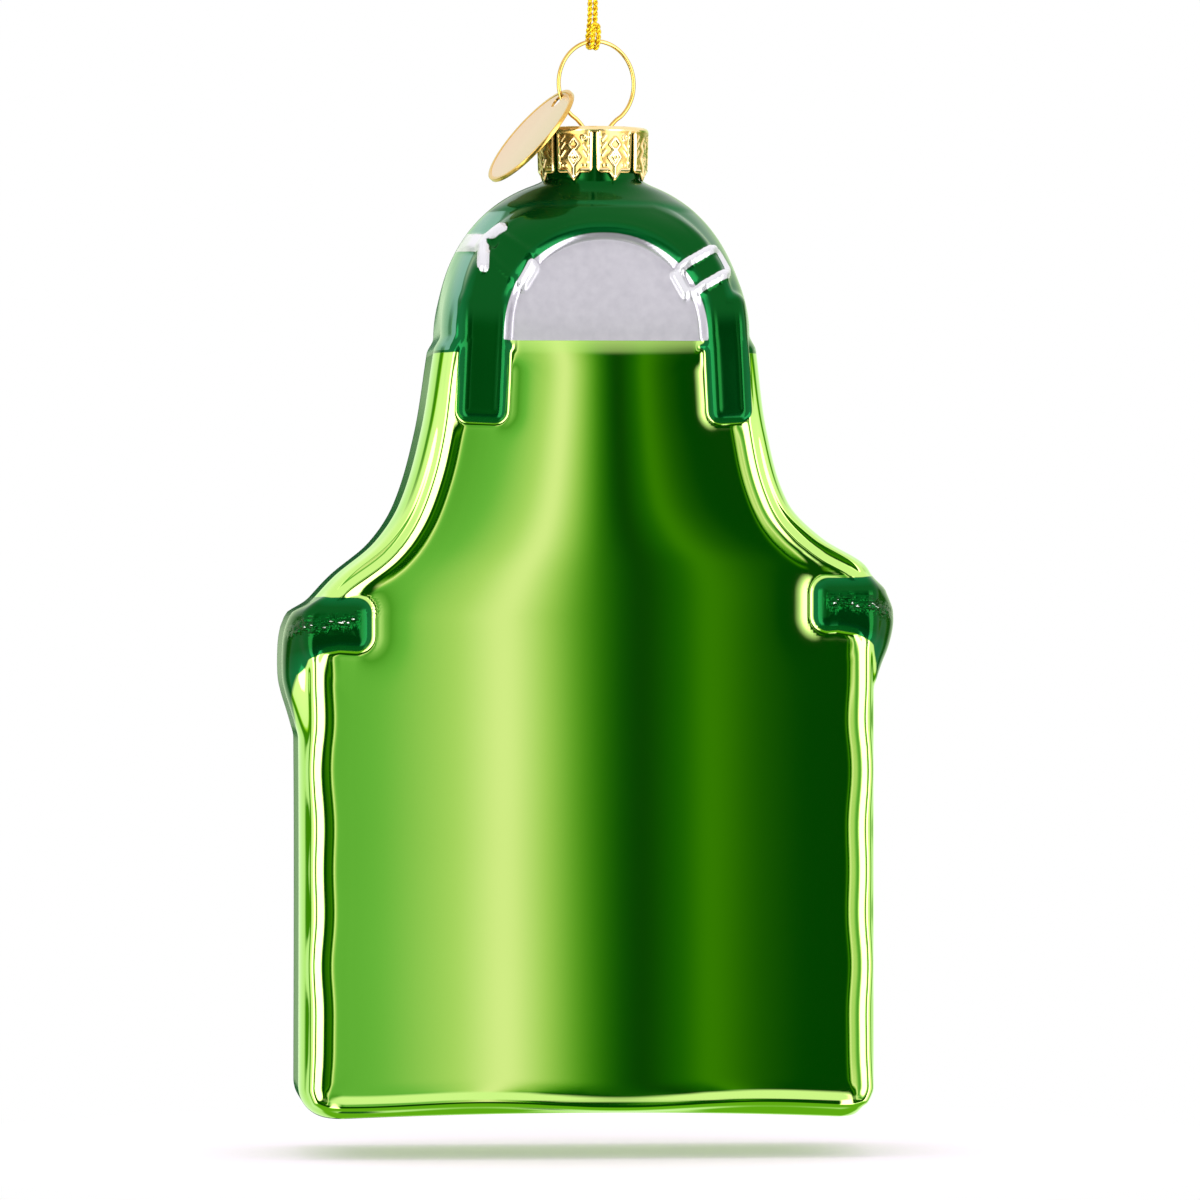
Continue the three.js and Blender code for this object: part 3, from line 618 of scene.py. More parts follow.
# One ring: a rounded rectangle that turns into the neck's circle
def glassRing(toLeft, toRight, depth, z, neckShare, lift):
    g = glassSet
    rx, ry = g["roundAcross"], min(g["roundDeep"], depth * 0.9)
    points = []
    for (aside, deep), q in glassColumns:
        if aside == 0:
            points.append((q * ((toRight if q > 0 else toLeft) - rx), deep * depth))
            continue
        width = toRight if aside > 0 else toLeft
        if deep == 0:
            points.append((aside * width, q * (depth - ry)))
            continue
        u, v = (math.cos(q), math.sin(q)) if aside == deep else (math.sin(q), math.cos(q))
        points.append((aside * (width - rx + rx * u), deep * (depth - ry + ry * v)))
    flatX, flatY = np.array(points).T
    # the same columns on the neck's circle
    x = mix(flatX, np.where(np.cos(ringAngles) > 0, toRight, toLeft) * np.cos(ringAngles), neckShare)
    y = mix(flatY, depth * np.sin(ringAngles), neckShare)
    across = np.clip(np.where(x > 0, x / toRight, x / toLeft), -1, 1)
    forward = mix(g["crown"], g["crownArch"], ease(z, *g["crownFade"]))
    middle = 1 - across ** 2
    crown = np.where(y < 0, forward, g["crownBack"]) / g["halfDepth"] * middle * (1 - neckShare)
    return np.stack([x, y * (1 + crown), z + lift * middle], axis=1)


def glassHeights():
    g = glassSet
    rise = g["bodyHeight"] + 1.0 - g["archStart"]
    spans = [(6, 42.9, 0.85), (43, 64.9, 0.34), (65, 77.9, 0.55), (78, 89.9, 0.26)]
    return np.concatenate([
        *[np.arange(*span) for span in [(g["bottomCorner"], 6, 0.3), *spans]],
        g["archStart"] + rise * np.sin(np.linspace(0, math.pi / 2, 86)) ** 0.9,
        [108.7, 109.2, 110.5, 112.2, 113.1, g["neckTop"]],
    ])


# A ring at a height of the body, or inset from it
def ringAt(h, z, inset, lift):
    g = glassSet
    return glassRing(
        sideWidth(h, leftSide) - inset, sideWidth(h, rightSide) - inset, depthAt(h) - inset, z,
        ease(z, g["archStart"], g["bodyHeight"]), lift)


# Rings of the outside, from the middle of the underside to the neck's top
def outsideRings():
    g = glassSet

    def footRing(shrink, z):
        inset = g["bottomCorner"] * shrink
        return glassRing(
            leftSide["skirt"] - inset, rightSide["skirt"] - inset,
            g["halfDepth"] - g["bottomSoftness"] * shrink, z, 0, g["bottomLift"])

    rings = []
    for share in (0.25, 0.55, 0.8, 0.93):
        inward = footRing(1, 0) * (share, share, 1)
        inward[:, 2] = g["bottomLift"] * (1 - (inward[:, 0] / g["bottomHalf"]) ** 2)
        rings.append(inward)
    for a in np.linspace(0, math.pi / 2, 18, endpoint=False):
        rings.append(footRing(1 - math.sin(a), g["bottomCorner"] * (1 - math.cos(a))))
    for h in glassHeights():
        lift = g["bottomLift"] * (1 - ease(h, g["bottomCorner"], g["bottomCorner"] * 3))
        rings.append(ringAt(h, h, 0, lift))
    return np.array(rings)


# And of the inside, down from the neck's top
def insideRings():
    g = glassSet
    foot = g["bodyHeight"] - 0.8
    bore = g["neckRadius"] - g["neckWall"]
    rings = [glassRing(bore, bore, bore, h, 1, 0) for h in (g["neckTop"], 111, 108.5, foot)]
    for h in [*np.linspace(g["bodyHeight"] - 2.6, 92, 7), 86, 76, 66, 62, 58, 50, 30, 10, 5]:
        wall = mix(g["neckWall"], g["innerWall"], ease(h, foot, g["bodyHeight"] - 4))
        rings.append(ringAt(h + 1.2, h, wall, 0))
    rings.append(glassRing(*g["innerFloor"], 0, 0.5))
    return np.array(rings)


def polygonDistance(x, y, corners):
    inside = np.zeros(x.shape, dtype=bool)
    nearest = np.full(x.shape, 1e9)
    for (ax, ay), (bx, by) in zip(corners, corners[1:] + corners[:1]):
        nearest = np.minimum(nearest, lineDistance(x, y, (ax, ay), (bx, by)))
        if ay != by:
            inside ^= ((ay > y) != (by > y)) & (x < (bx - ax) * (y - ay) / (by - ay) + ax)
    return np.where(inside, nearest, -nearest)


# Signed distance into a rectangle with round corners, turned about its centre
def plateDistance(x, y, centre, length, width, corner, turn):
    c, s = math.cos(math.radians(turn)), math.sin(math.radians(turn))
    u = np.abs((x - centre[0]) * c + (y - centre[1]) * s) - (length / 2 - corner)
    v = np.abs((y - centre[1]) * c - (x - centre[0]) * s) - (width / 2 - corner)
    return corner - np.hypot(np.maximum(u, 0), np.maximum(v, 0)) - np.minimum(np.maximum(u, v), 0)


def smoothMin(a, b, k):
    return -smoothMax(-a, -b, k)


# The rim round the panel, by the distance into the panel: an outer hollow, a bead, a fillet down
rimProfile = [
    (-3.6, 0), (-2.9, -0.01), (-2.0, -0.12), (-1.75, -0.1), (-1.4, 0.1), (-1.1, 0.28), (-0.9, 0.32),
    (-0.7, 0.26), (-0.2, 0.0), (0.15, -0.09), (0.6, -0.16), (1.0, -0.215), (1.25, -0.235), (1.6, -0.245),
    (3.4, -0.25),
]


# Height of a relief by the distance into its outline: a soft concave foot, then a rounded shoulder
def reliefHeight(distance, rise, foot, shoulder, footShare):
    base = rise * footShare
    outer = base * np.exp(np.minimum(distance, 0) / foot)
    t = np.clip(distance / shoulder, 0, 1)
    return np.where(distance < 0, outer, base + (rise - base) * (1 - (1 - t) ** 2.2))


reliefSet = {
    "bibCentre": 0.5, "bibBottom": 89.1, "bibHalf": 11.2, "bibHeight": 12.2, "bibRound": 2.1,
    "bibLip": (0.45, 0.1),    # width of the bare rim round the bib, at its foot and at its top
    "strapRise": 0.75, "strapInset": 2.0, "edgeRidge": 0.07,
    "folds": [((-10.8, 100.7), (-7.7, 98.6)), ((-12.6, 98.3), (-9.8, 95.6))], "foldRise": 0.24,
    "tails": [  # width, top, bottom
        (5.7, (-13.1, 94.6), (-13.8, 79.7)),
        (4.9, (14.1, 94.6), (14.85, 79.7)),
    ],
    "tailCorner": 1.4,
    "hem": [(87.3, -0.25), (87.6, -0.255), (89.0, -0.335), (89.3, -0.355)],
    "hemBead": [(0.7, 0), (1.0, 0.1), (1.4, 0.24), (1.9, 0.3), (2.35, 0.24), (2.8, 0.08), (3.2, 0)],
    "rimSkirt": 2.7, "rimArmhole": 3.5, "rimWave": 0.28, "hemWave": 0.3,
    # heights between which the rim widens and narrows, the panel ends before the bib, its front turns
    # into the bevel under the bib, the ground under the strap rises, and the strap sinks into the arch
    "rimWidens": (55, 66), "rimNarrows": (74, 86), "panelEnds": (88.9, 89.4), "bevelStarts": (85.5, 87.2),
    "groundRises": (78, 104), "strapSinks": (100.5, 106.7),
    "ground": -0.12,
    "hollowDeep": 0.38, "hollowReach": 1.1,
    "tieRiseFront": 1.0, "tieHalf": 3.05, "tieCorner": 1.7, "creaseDeep": 0.16,
    "buckleRise": 0.55, "holeDeep": 0.3,
    "coatFrom": 87.7,
}
# Plates of the buckles: centre, length, width, corner radius, turn in degrees
buckleSet = {
    "frame": ((11.85, 97.0), 6.0, 4.2, 1.1, 28),
    "opening": ((11.85, 97.0), 4.4, 2.1, 0.35, 28),
    "heel": ((9.15, 95.6), 3.6, 1.1, 0.5, -62),
    "band": ((-15.4, 100.7), 6.0, 2.3, 0.35, -12),
    "keeper": ((-8.3, 96.6), 3.6, 1.35, 0.6075, 59),
}
prongSet = {
    "root": (-12.9, 100.2), "tips": [(-10.9, 101.7), (-13.3, 97.1)], "width": 1.15,
    "rootRadius": 0.8, "holeRadius": 0.4,
}


def outline(side, heights):
    return [(side["sign"] * float(sideWidth(h, side)), float(h)) for h in heights]


def silhouetteDistance(x, h):
    heights = np.concatenate([np.linspace(3.0, 50, 12), np.linspace(52, 92, 50)])
    left, right = -leftSide["skirt"], rightSide["skirt"]
    foot = [(left + 0.9, 0.9), (left + 3, 0.15), (right - 3, 0.15), (right - 0.9, 0.9)]
    top = [(rightSide["arch"], 120), (-leftSide["arch"], 120)]
    return polygonDistance(
        x, h, outline(leftSide, heights)[::-1] + foot + outline(rightSide, heights) + top)


def bibDistance(x, h):
    r = reliefSet
    n = r["bibRound"]
    dx = np.abs(x - r["bibCentre"]) / r["bibHalf"]
    dy = np.maximum(h - r["bibBottom"], 0) / r["bibHeight"]
    q = np.maximum((dx ** n + dy ** n) ** (1 / n), 1e-6)
    slope = q ** (1 - n) * np.hypot(dx ** (n - 1) / r["bibHalf"], dy ** (n - 1) / r["bibHeight"])
    arch = (1 - q) / np.maximum(slope, 1e-3)
    return smoothMin(arch, h - r["bibBottom"], 0.5), arch


def tailDistance(x, h, width, top, bottom):
    (topX, topH), (bottomX, bottomH) = top, bottom
    turn = math.degrees(math.atan2(topH - bottomH, topX - bottomX))
    middle = ((topX + bottomX) / 2, (topH + bottomH) / 2)
    return plateDistance(x, h, middle, math.dist(top, bottom), width, reliefSet["tailCorner"], turn)


# The strap on the front of the arch: inside the arch's edge, outside the silver bib
def strapDistance(x, h, bib):
    r = reliefSet
    top = glassSet["bodyHeight"]
    heights = np.linspace(86, top - 0.02, 60)
    arch = polygonDistance(x, h, outline(leftSide, heights)[::-1] + outline(rightSide, heights))
    arch = arch - r["strapInset"]
    arch = np.where(h > top - 3, np.maximum(arch, 3 - (top - h)), arch)
    band = smoothMin(arch, -bib, 0.4)
    band = smoothMin(band, h - (r["bibBottom"] - 1.0), 0.3)
    middle = np.abs(x - r["bibCentre"]) - r["bibHalf"] + 0.4
    band = np.where(h < r["bibBottom"] + 0.6, smoothMin(band, middle, 0.3), band)
    tails = np.maximum(*[tailDistance(x, h, *tail) for tail in r["tails"]])
    return smoothMax(band, tails, 0.5)


def tieDistance(x, h, side):
    r = reliefSet
    inner, low, high = side["tieEnd"], side["tieHeight"] - r["tieHalf"], side["tieHeight"] + r["tieHalf"]
    edge = side["skirt"] - side["drapeIn"]
    foot = side["tieHeight"] + r["tieHalf"] * 1.2 - 2 * side["lobeHalf"]
    c = r["tieCorner"]
    arc = [(1 - math.sin(a), 1 - math.cos(a)) for a in np.linspace(0, math.pi / 2, 9)]
    corners = [(inner + c * across, low + c * up) for across, up in arc]
    corners += [(inner + c * across, high - c * up) for across, up in reversed(arc)]
    corners += [
        (edge - 3, high), (edge + 4, high + 0.3),
        (edge + 4, foot), (edge + 0.1, foot), (edge - 0.1, foot + 2), (edge - 0.2, mix(foot, low, 0.45)),
        (edge - 0.5, mix(foot, low, 0.72)), (edge - 1.2, low - 0.9), (edge - 2.5, low - 0.25),
        (edge - 4.5, low + 0.1),
    ]
    return polygonDistance(x * side["sign"], h, corners)


def buckleDistances(x, h):
    plate = {name: plateDistance(x, h, *measures) for name, measures in buckleSet.items()}
    loop = smoothMax(np.minimum(plate["frame"], -plate["opening"]), plate["heel"], 0.3)
    (rootX, rootH), width = prongSet["root"], prongSet["width"]
    prongs = prongSet["rootRadius"] - np.hypot(x - rootX - 0.1, h - rootH - 0.1)
    for tip in prongSet["tips"]:
        prongs = np.maximum(prongs, width / 2 - lineDistance(x, h, prongSet["root"], tip))
    band = smoothMax(np.maximum(plate["band"], -1.0), prongs, 0.25)
    hole = prongSet["holeRadius"] - np.hypot((x - rootX - 0.85) * 0.8, h - rootH + 0.35)
    return np.maximum.reduce([loop, band, plate["keeper"]]), hole


def gridNormals(rings):
    around = np.roll(rings, -1, axis=1) - np.roll(rings, 1, axis=1)
    normal = np.cross(around, np.gradient(rings, axis=0))
    return normal / np.maximum(np.linalg.norm(normal, axis=2, keepdims=True), 1e-9)


# Moves the outside along its normals and returns the distances that place the coats
def shapeRelief(rings):
    r = reliefSet
    normal = gridNormals(rings)
    x, h = rings[..., 0], rings[..., 2]
    sideways, facingBack = normal[..., 0], normal[..., 1]
    front = ease(-facingBack, 0.05, 0.4)
    flat = ease(np.abs(facingBack), 0.05, 0.5)

    # the panel with its rim, which wanders a little, and the hollows beside what lies on it
    narrowing = 1 - 0.5 * ease(h, *r["rimNarrows"])
    rimAt = mix(r["rimSkirt"], r["rimArmhole"], ease(h, *r["rimWidens"]) * narrowing)
    hemWave = np.sin(x * 0.2 + 1.1)
    wave = r["rimWave"] * np.sin(h * 0.42 + 0.6) * ease(h, 8, 20) * (1 - ease(h, 42, 52)) * np.sin(h * 0.11)
    panel = silhouetteDistance(x, h) - rimAt + wave + r["hemWave"] * hemWave * (1 - ease(h, 3, 8))
    bib, bibSides = bibDistance(x, h)
    bib = bib + mix(*r["bibLip"], ease(h, 95, 101))
    strap = strapDistance(x, h, bib)
    bothTies = [tieDistance(x, h, side) for side in (leftSide, rightSide)]
    ties = np.where(x < 0, *bothTies)
    raised = np.maximum(strap, ties)
    hollow = np.exp(np.minimum(ties, 0) / r["hollowReach"]) + 0.6 * np.exp(np.minimum(strap, 0) / 0.6)
    hollow = -r["hollowDeep"] * hollow * ease(panel, -0.6, 0.6)
    level = (along(rimProfile, panel) + hollow) * (1 - ease(h, *r["panelEnds"]))
    level = mix(level, r["ground"] * (1 - ease(h, *r["groundRises"])), ease(raised, -0.25, 0.35))
    # between the tails the panel is bevelled back to the silver of the bib
    level = mix(level, along(r["hem"], h), ease(bibSides, -0.3, 0.4) * ease(h, *r["bevelStarts"]))
    inHem = ease(np.minimum(x + leftSide["skirt"] - 3, rightSide["skirt"] - 3 - x), 0, 2)
    outward = (level + along(r["hemBead"], h + 0.2 * hemWave) * inHem) * front

    # the strap with a fine ridge along its edge and two folds at the pronged end
    strapUp = reliefHeight(strap, r["strapRise"], 0.18, 1.05, 0.25)
    strapUp += r["edgeRidge"] * ridge(strap - 1.0, 0.3)
    for fold in r["folds"]:
        strapUp += r["foldRise"] * ridge(lineDistance(x, h, *fold), 0.42)
    outward += strapUp * front * (1 - ease(h, *r["strapSinks"]))

    # the ties, draped round the sides, with a crumpled crease along their fronts
    crease = np.zeros(x.shape)
    for side, tie in zip((leftSide, rightSide), bothTies):
        out = x * side["sign"]
        draped = along(side["wrap"], h - side["tieHeight"]) * ease(np.abs(sideways), 0.2, 0.7)
        rise = mix(draped, reliefHeight(tie, r["tieRiseFront"], 0.2, 2.5, 0.3), flat)
        middle = side["tieHeight"] + 0.35 - 0.09 * np.maximum(out - side["skirt"] + 5, 0) ** 1.6
        middle = middle + 0.18 * np.sin(out * 2.3) + 0.1 * np.sin(out * 5.1 + 1)
        inTie = ease(tie, 0.5, 1.1) * ease(out, side["tieEnd"] + 1.2, side["tieEnd"] + 2.2) * front
        outward += np.where(out > 0, rise, 0) - r["creaseDeep"] * ridge(h - middle, 0.42) * inTie
        crease = np.maximum(crease, ridge(h - middle, 0.6) * inTie * (out > 0))

    buckle, hole = buckleDistances(x, h)
    outward += r["buckleRise"] * ease(buckle, -0.1, 0.38) * front
    outward -= r["holeDeep"] * ease(hole, -0.12, 0.15) * front

    # dark lacquer above the coat's edge, but not in the bib nor on the hem between the tails
    coat = h - r["coatFrom"]
    hemOut = np.maximum(np.abs(x - r["bibCentre"]) - r["bibHalf"] - 0.3, h - r["bibBottom"])
    coat = np.where(facingBack < 0.2, np.minimum.reduce([coat, -(bib + 0.05), hemOut]), coat)
    # painted shade: the green is darkened towards the neck, above about 105.5 mm
    onStrap, neckShade, inBib = front > 0.01, 2 * (h - 105.5), h - r["bibBottom"]
    # painted reflection: the outer walls of the arch, more of the left than the right, take a pale
    # grey-green that stands for the white background mirrored at a grazing angle
    side = np.where(x < 0, 3 * (-sideways - 0.5), 3 * (sideways - 0.93))
    silver = np.minimum(bib + 0.05, inBib)
    bibEdge = np.minimum(0.5 - np.abs(bibSides + 0.05), inBib)
    return rings + normal * outward[..., None], {
        "enamel": np.maximum(np.where(onStrap, np.maximum(strap + 0.05, coat), coat), ties + 0.02),
        "silver": np.where(facingBack < -0.2, silver, -5),
        "buckle": np.where(facingBack < -0.02, np.minimum(buckle, -hole), -5),
        "crease": crease,
        # painted sheen and shade: lighter green at the edges of the strap and ties, darker on their flats
        # and at the neck
        "sheen_and_shade": np.maximum(np.where(onStrap, raised, ties), neckShade),
        # painted reflection on the arch's outer walls, as worked out above
        "side": np.minimum.reduce([side, h - 88.0, 0.04 * (105 - h), -0.3 - strap]),
        "bibEdge": np.where(facingBack < -0.2, bibEdge, -5),
    }


def makeGlass():
    outer, zones = shapeRelief(outsideRings())
    rings = np.concatenate([outer, insideRings()])
    rings[..., 2] += glassSet["bottomZ"]
    count, columns = rings.shape[:2]
    index = np.arange(count * columns).reshape(count, columns)
    after = np.roll(index, -1, axis=1)
    faces = np.stack([index[:-1], after[:-1], after[1:], index[1:]], axis=-1).reshape(-1, 4).tolist()
    low, high = index.size, index.size + 1   # the middles of the underside and of the inside's floor
    for k in range(columns):
        faces.append((low, after[0, k], index[0, k]))
        faces.append((high, index[-1, k], after[-1, k]))
    points = np.vstack([rings.reshape(-1, 3), rings[0].mean(axis=0), rings[-1].mean(axis=0)])
    glass = meshPiece("glassShell", points, faces)
    for name, value in zones.items():
        inside = np.full(len(points) - value.size, 30.0 if name == "enamel" else -5.0)
        inside[-2] = value[0].mean()
        addField(glass, name, np.concatenate([value.ravel(), inside]))
    return glass


glassShell = makeGlass()
print("glass shell made,", len(glassShell.data.polygons), "faces")


# Two colours by one pattern, and a roughness by the same or another
def shadeBetween(addNode, shader, pattern, dull, bright, smooth, rough, roughPattern=None):
    colour = addNode("Mix", {"Factor": pattern, "A": linear(dull), "B": linear(bright)}, data_type="RGBA")
    shine = addNode("MapRange", {"Value": roughPattern or pattern, "To Min": smooth, "To Max": rough})
    feed(shader, {"Base Color": colour, "Roughness": shine})


# Silvered glass under coloured lacquers: the lime shell is a tinted mirror, the strap and ties
# are a darker, thicker coat, the bib's back is bare silvering and the buckles silver enamel
def lacqueredGlass():
    material, addNode, shader, place = newMaterial(
        "silvered glass with lacquer coats", Coat_Weight=0.05, Coat_Roughness=0.03, Coat_IOR=1.5,
        Specular_IOR_Level=0.05)

    def zone(name, low=-0.04, high=0.04):
        value = addNode("Attribute", attribute_name=name).outputs["Fac"]
        return addNode("MapRange", {"Value": value, "From Min": low, "From Max": high})

    def layered(kind, value, coats):
        for name, over in coats:
            value = addNode("Mix", {"Factor": zone(name), "A": value, "B": over}, data_type=kind)
        return value

    # the lime lacquer thins and thickens over some cm, the bare silver is mottled in patches of about 1 mm,
    # and the green is painted darker on the flat of the strap and ties and at the neck, lighter at their
    # edges: painted shade on the flats and the neck, a painted sheen along the edges
    drift = addNode("TexNoise", {"Vector": place, "Scale": 40, "Detail": 2})
    mottle = addNode("TexNoise", {"Vector": place, "Scale": 900, "Detail": 3})
    lime, silver, green = (
        addNode("Mix", {"Factor": pattern, "A": linear(low), "B": linear(high)}, data_type="RGBA")
        for pattern, low, high in (
            (drift, "#B2D970", "#B9DF78"), (mottle, "#ACA8B2", "#C3C0C7"),
            (zone("sheen_and_shade", 0.2, 1.1), "#04602D", "#004D16")))
    # the side coat is a painted reflection: a pale grey-green that stands for the white background mirrored
    # on the arch's outer walls
    colour = layered("RGBA", lime, [
        ("enamel", green), ("side", linear("#659B83")), ("silver", silver), ("buckle", linear("#D9D7DD"))])
    metal = layered("FLOAT", 1.0, [("enamel", 0.6), ("silver", 0.35), ("bibEdge", 0.5), ("buckle", 0.3)])
    rough = layered("FLOAT", 0.06, [("enamel", 0.12), ("silver", 0.36), ("bibEdge", 0.2), ("buckle", 0.24)])

    # crumpled crease of the ties: folds about 0.8 mm long and 0.4 mm high, with near-white painted glints on
    # their crests
    creased = addNode("Attribute", attribute_name="crease").outputs["Fac"]
    stretched = addNode("Mapping", {"Vector": place, "Scale": (1300, 1300, 2600)})
    crumple = addNode("TexNoise", {"Vector": stretched, "Scale": 1, "Detail": 1})
    folds = addNode("Math", {0: crumple, 1: creased}, operation="MULTIPLY")
    # painted glints: where the folds peak, near-white spots stand for highlights
    glintSpots = addNode("MapRange", {"Value": folds, "From Min": 0.55, "From Max": 0.59})
    wearAndGlints = addNode("Mix", {"Factor": glintSpots, "A": colour, "B": linear("#EFF5EE")}, data_type="RGBA")
    bump = addNode("Bump", {"Strength": 1.0, "Distance": 0.0011, "Height": folds})
    feed(shader, {"Base Color": wearAndGlints, "Metallic": metal, "Roughness": rough, "Normal": bump})
    return material


# Stamped tin plated with pale gold: bright on the raised lines, tarnished in the pressed ones
def platedTin():
    material, addNode, shader, place = newMaterial("gold plated tin", Metallic=1.0)
    pressed = addNode("Attribute", attribute_name="pressed").outputs["Fac"]
    cloud = addNode("TexNoise", {"Vector": place, "Scale": 420, "Detail": 3})
    wear = addNode("Math", {0: cloud, 1: 0.45, 2: -0.08}, operation="MULTIPLY_ADD", use_clamp=True)
    bright = addNode("Math", {0: pressed, 1: wear}, operation="ADD", use_clamp=True)
    shadeBetween(addNode, shader, bright, "#BE9644", "#F4DDA9", 0.3, 0.14)
    # the foil is a little dented, about 1.5 mm from dent to dent
    dents = addNode("TexNoise", {"Vector": place, "Scale": 650, "Detail": 2})
    bump = addNode("Bump", {"Strength": 0.35, "Distance": 0.0002, "Height": dents})
    feed(shader, {"Normal": bump})
    return material


# Drawn brass wire with a gold wash: rubbed places some mm long are duller in colour and shine
def drawnWire():
    material, addNode, shader, place = newMaterial("gold washed brass wire", Metallic=1.0)
    wearAndGlints = addNode("TexNoise", {"Vector": place, "Scale": 260, "Detail": 4})
    shadeBetween(addNode, shader, wearAndGlints, "#A77C28", "#EACB7A", 0.1, 0.28)
    return material


# Thin brass foil: the face is brushed along the tag, the rolled rim is smooth and deeper in colour
def brushedFoil(name, dull, bright, roughness):
    material, addNode, shader, place = newMaterial(name, Metallic=0.9)
    # strokes about 0.15 mm wide and some mm long, drawn coarser than real so that they show
    tilt = (0, math.radians(-52), math.radians(18))
    strokes = addNode("Mapping", {"Vector": place, "Rotation": tilt, "Scale": (300, 6000, 6000)})
    grain = addNode("TexNoise", {"Vector": strokes, "Scale": 1, "Detail": 2})
    shadeBetween(addNode, shader, grain, dull, bright, roughness - 0.06, roughness + 0.08)
    return material


# Metallised thread: flat glittering filaments, deep gold in the gaps between them
def lurexThread():
    material, addNode, shader, place = newMaterial("gold lurex thread", Metallic=0.85)
    # filaments about 0.12 mm wide
    cells = addNode("TexVoronoi", {"Vector": place, "Scale": 8000})
    parts = addNode("SeparateColor", {"Color": cells.outputs["Color"]})
    red, green = parts.outputs["Red"], parts.outputs["Green"]
    shadeBetween(addNode, shader, red, "#B47E04", "#FFE234", 0.18, 0.5, green)
    bump = addNode("Bump", {"Strength": 0.5, "Distance": 0.00006, "Height": cells.outputs["Distance"]})
    feed(shader, {"Normal": bump})
    return material


# Each piece: its materials, the body it moves with, the node it stands for and that node's slot
foilFace = brushedFoil("brushed brass foil", "#C8AD90", "#DDC4A6", 0.3)
foilRim = brushedFoil("rolled brass rim", "#B98A34", "#DDB563", 0.2)
thread = lurexThread()
for piece, materials, body, node, slot in (
        (glassShell, [lacqueredGlass()], "glass", "glass_body", "lacquered_glass"),
        (crownCap, [platedTin()], "crown_cap", "cap", "gold_cap"),
        (hangerRing, [drawnWire()], "hanger", "hanger_wire", "gold_wire"),
        (hangTag, [foilFace, foilRim], "tag", "hang_tag", "brass_tag"),
        (cordLoop, [thread], "cord_loop", "cord", "gold_cord"),
        (cordKnot, [thread], "cord_loop", "cord_knot", "gold_cord")):
    for material in materials:
        piece.data.materials.append(material)
    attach(piece, body)
    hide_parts(node)


# Studio: white floor with the ornament's shadow, and softboxes and dark gaps all round
stageSet = {
    "floorZ": -154.75,
    "floorRadius": 100,
    # from the first to the second of these, in mm from the middle, the floor's glow grows to pure white
    "shadow": (25, 88),
    "shadowGlow": 0.22,
    "tentRadius": 2500,
    "glow": 1.3,                # white in the lists below has this strength
    # cards over those at the sides: between which shares of the tent's radius each comes or goes,
    # how much of it shows at these ends, its colour, and whether it is only in front
    "covers": [
        ((0.16, 0.46), (0, 1), "#FFFFFF", False),
        ((-0.34, -0.16), (1, 0), "#0C4206", True),
        ((-0.9, -0.7), (1, 0), "#78B02C", False),
    ],
    "frontEnds": (18, 28),      # degrees from the front
    # what is seen in each direction, in degrees from the front towards the ornament's right: strip
    # lights 4 times as strong as the rest, and between them green cards round a white strip
    "around": [
        (-60, "#FFFFFF", 4), (-30, "#FFFFFF", 4), (-22, "#FFFFFF", 1), (-14, "#90BC80", 1),
        (-9, "#5E9C48", 1), (-4, "#80BA72", 1), (-1, "#D1DCB5", 1), (0.8, "#FFE8FF", 1.22),
        (2.3, "#C4D49A", 1), (3.4, "#6CA430", 1), (4.3, "#2C7400", 1), (5.2, "#004E00", 1),
        (6.2, "#003400", 1), (8.1, "#1E6400", 1), (9, "#4A8600", 1), (11, "#205A00", 1),
        (13, "#004100", 1), (18, "#003C00", 1), (23, "#FFFFFF", 1), (29, "#FFFFFF", 4), (60, "#FFFFFF", 4),
    ],
    # and behind, the same at both sides: softboxes, a green card, pale paper
    "behind": [
        (60, "#FFFFFF", 1.2), (108, "#FFFFFF", 1), (113, "#B4E03C", 1), (118, "#4A8A10", 1),
        (131, "#4A8A10", 1), (138, "#D8F0C4", 1), (176.2, "#D8F0C4", 1), (176.9, "#1C5A2C", 1),
        (180, "#1C4A2C", 1),
    ],
    "lampSize": (0.16, 0.12),
    "lampPlace": (-0.005, 0, 0.45),
    "lampWatts": 1.2,
}


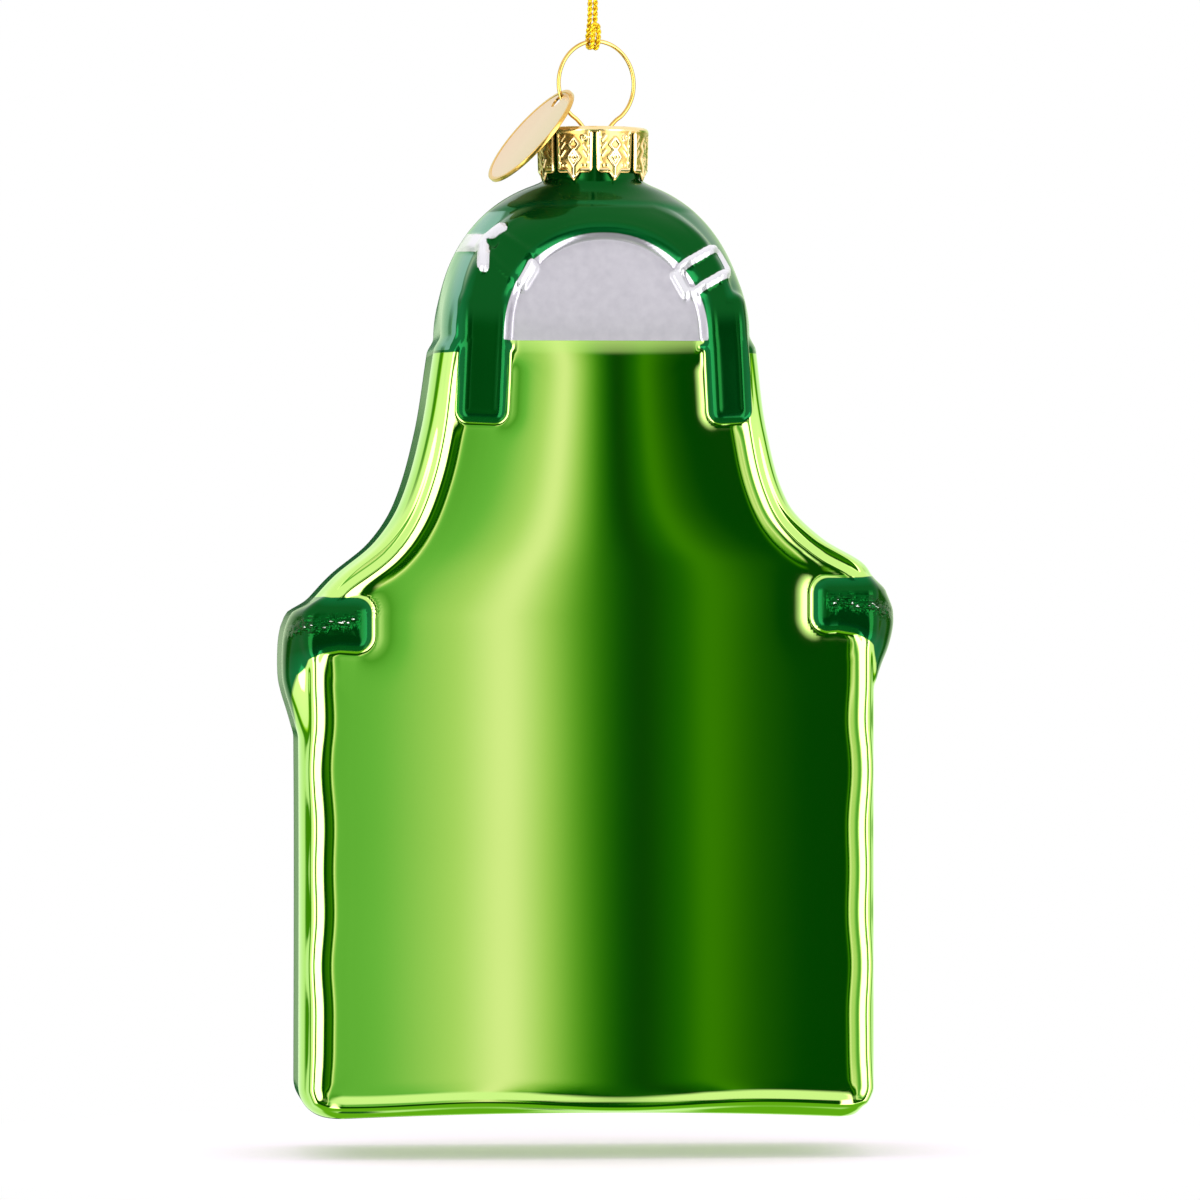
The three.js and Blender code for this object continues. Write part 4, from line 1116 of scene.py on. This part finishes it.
# A tent of softboxes and dark gaps that only reflections see
def softboxTent():
    s = stageSet
    deselectAll()
    bpy.ops.mesh.primitive_uv_sphere_add(segments=96, ring_count=48, radius=s["tentRadius"] * mm)
    tent = bpy.context.object
    tent.name = "softboxTent"
    tent.visible_camera = tent.visible_diffuse = tent.visible_shadow = False
    material, addNode, shader, place = newMaterial("softboxes and flags")
    material.node_tree.nodes.remove(shader)
    parts = addNode("SeparateXYZ", {"Vector": place})
    toFront = addNode("Math", {0: parts.outputs["Y"], 1: -1.0}, operation="MULTIPLY")
    angle = addNode("Math", {0: parts.outputs["X"], 1: toFront}, operation="ARCTAN2")
    aside = addNode("Math", {0: angle}, operation="ABSOLUTE")
    brightest = max(times for _, _, times in s["around"])

    # all colours on the tent are shares of the brightest card
    def card(colour, times=1):
        return [c * times / brightest for c in linear(colour)[:3]] + [1]

    def between(direction, ends, atEnds=(0, 1)):
        low, high = (math.radians(degrees) for degrees in ends)
        return addNode("MapRange", {
            "Value": direction, "From Min": low, "From Max": high, "To Min": atEnds[0], "To Max": atEnds[1]})

    def panorama(cards, direction):
        first, last = cards[0][0], cards[-1][0]
        ramp = addNode("ValToRGB", {"Fac": between(direction, (first, last))})
        stops = ramp.color_ramp.elements
        stops[0].position, stops[1].position = 0, 1
        for degrees, _, _ in cards[1:-1]:
            stops.new((degrees - first) / (last - first))
        for stop, (_, colour, times) in zip(stops, cards):
            stop.color = card(colour, times)
        return ramp

    ahead, behind = panorama(s["around"], angle), panorama(s["behind"], aside)
    seen = addNode("Mix", {"Factor": between(aside, (58, 60)), "A": ahead, "B": behind}, data_type="RGBA")
    inFront = between(aside, s["frontEnds"], (1, 0))
    for ends, shows, colour, onlyFront in s["covers"]:
        low, high = (share * s["tentRadius"] * mm for share in ends)
        reach = addNode("MapRange", {
            "Value": parts.outputs["Z"], "From Min": low, "From Max": high, "To Min": shows[0],
            "To Max": shows[1]}, interpolation_type="SMOOTHSTEP")
        covering = addNode("Math", {0: reach, 1: inFront if onlyFront else 1}, operation="MULTIPLY")
        seen = addNode("Mix", {"Factor": covering, "A": seen, "B": card(colour)}, data_type="RGBA")
    glow = addNode("Emission", {"Color": seen, "Strength": s["glow"] * brightest})
    feed(material.node_tree.nodes["Material Output"], {"Surface": glow})
    tent.data.materials.append(material)


# The floor glows where the shadow ends, so that it is as white as the paper behind
def paperFloor():
    s = stageSet
    deselectAll()
    bpy.ops.mesh.primitive_circle_add(
        vertices=96, radius=s["floorRadius"] * mm, fill_type="NGON", location=(0, 0, s["floorZ"] * mm))
    floor = bpy.context.object
    floor.name = "floor"
    floor.visible_glossy = False
    material, addNode, shader, place = newMaterial(
        "white seamless paper", Base_Color=linear("#F3E2F7"), Roughness=0.9)
    start, end = s["shadow"]
    far = addNode("VectorMath", {0: place}, operation="LENGTH")
    fade = addNode("MapRange", {
        "Value": far, "From Min": start * mm, "From Max": end * mm, "To Min": s["shadowGlow"]},
        interpolation_type="SMOOTHSTEP")
    glow = addNode("Emission", {"Color": (1, 1, 1, 1), "Strength": 1.0})
    mixed = addNode("MixShader", {"Fac": fade, 1: shader, 2: glow})
    feed(material.node_tree.nodes["Material Output"], {"Surface": mixed})
    floor.data.materials.append(material)


def addStudio():
    s = stageSet
    bpy.context.scene.view_settings.view_transform = "Standard"
    world = bpy.data.worlds.new("studio")
    bpy.context.scene.world = world
    world.use_nodes = True
    world.node_tree.nodes["Background"].inputs["Color"].default_value = (1, 1, 1, 1)
    softboxTent()
    paperFloor()
    lamp = bpy.data.lights.new("overhead softbox", "AREA")
    lamp.shape = "RECTANGLE"
    lamp.size, lamp.size_y = s["lampSize"]
    lamp.energy = s["lampWatts"]
    light = addObject("overhead softbox", lamp)
    light.location = s["lampPlace"]
    light.visible_glossy = False


addStudio()
print("studio set up")
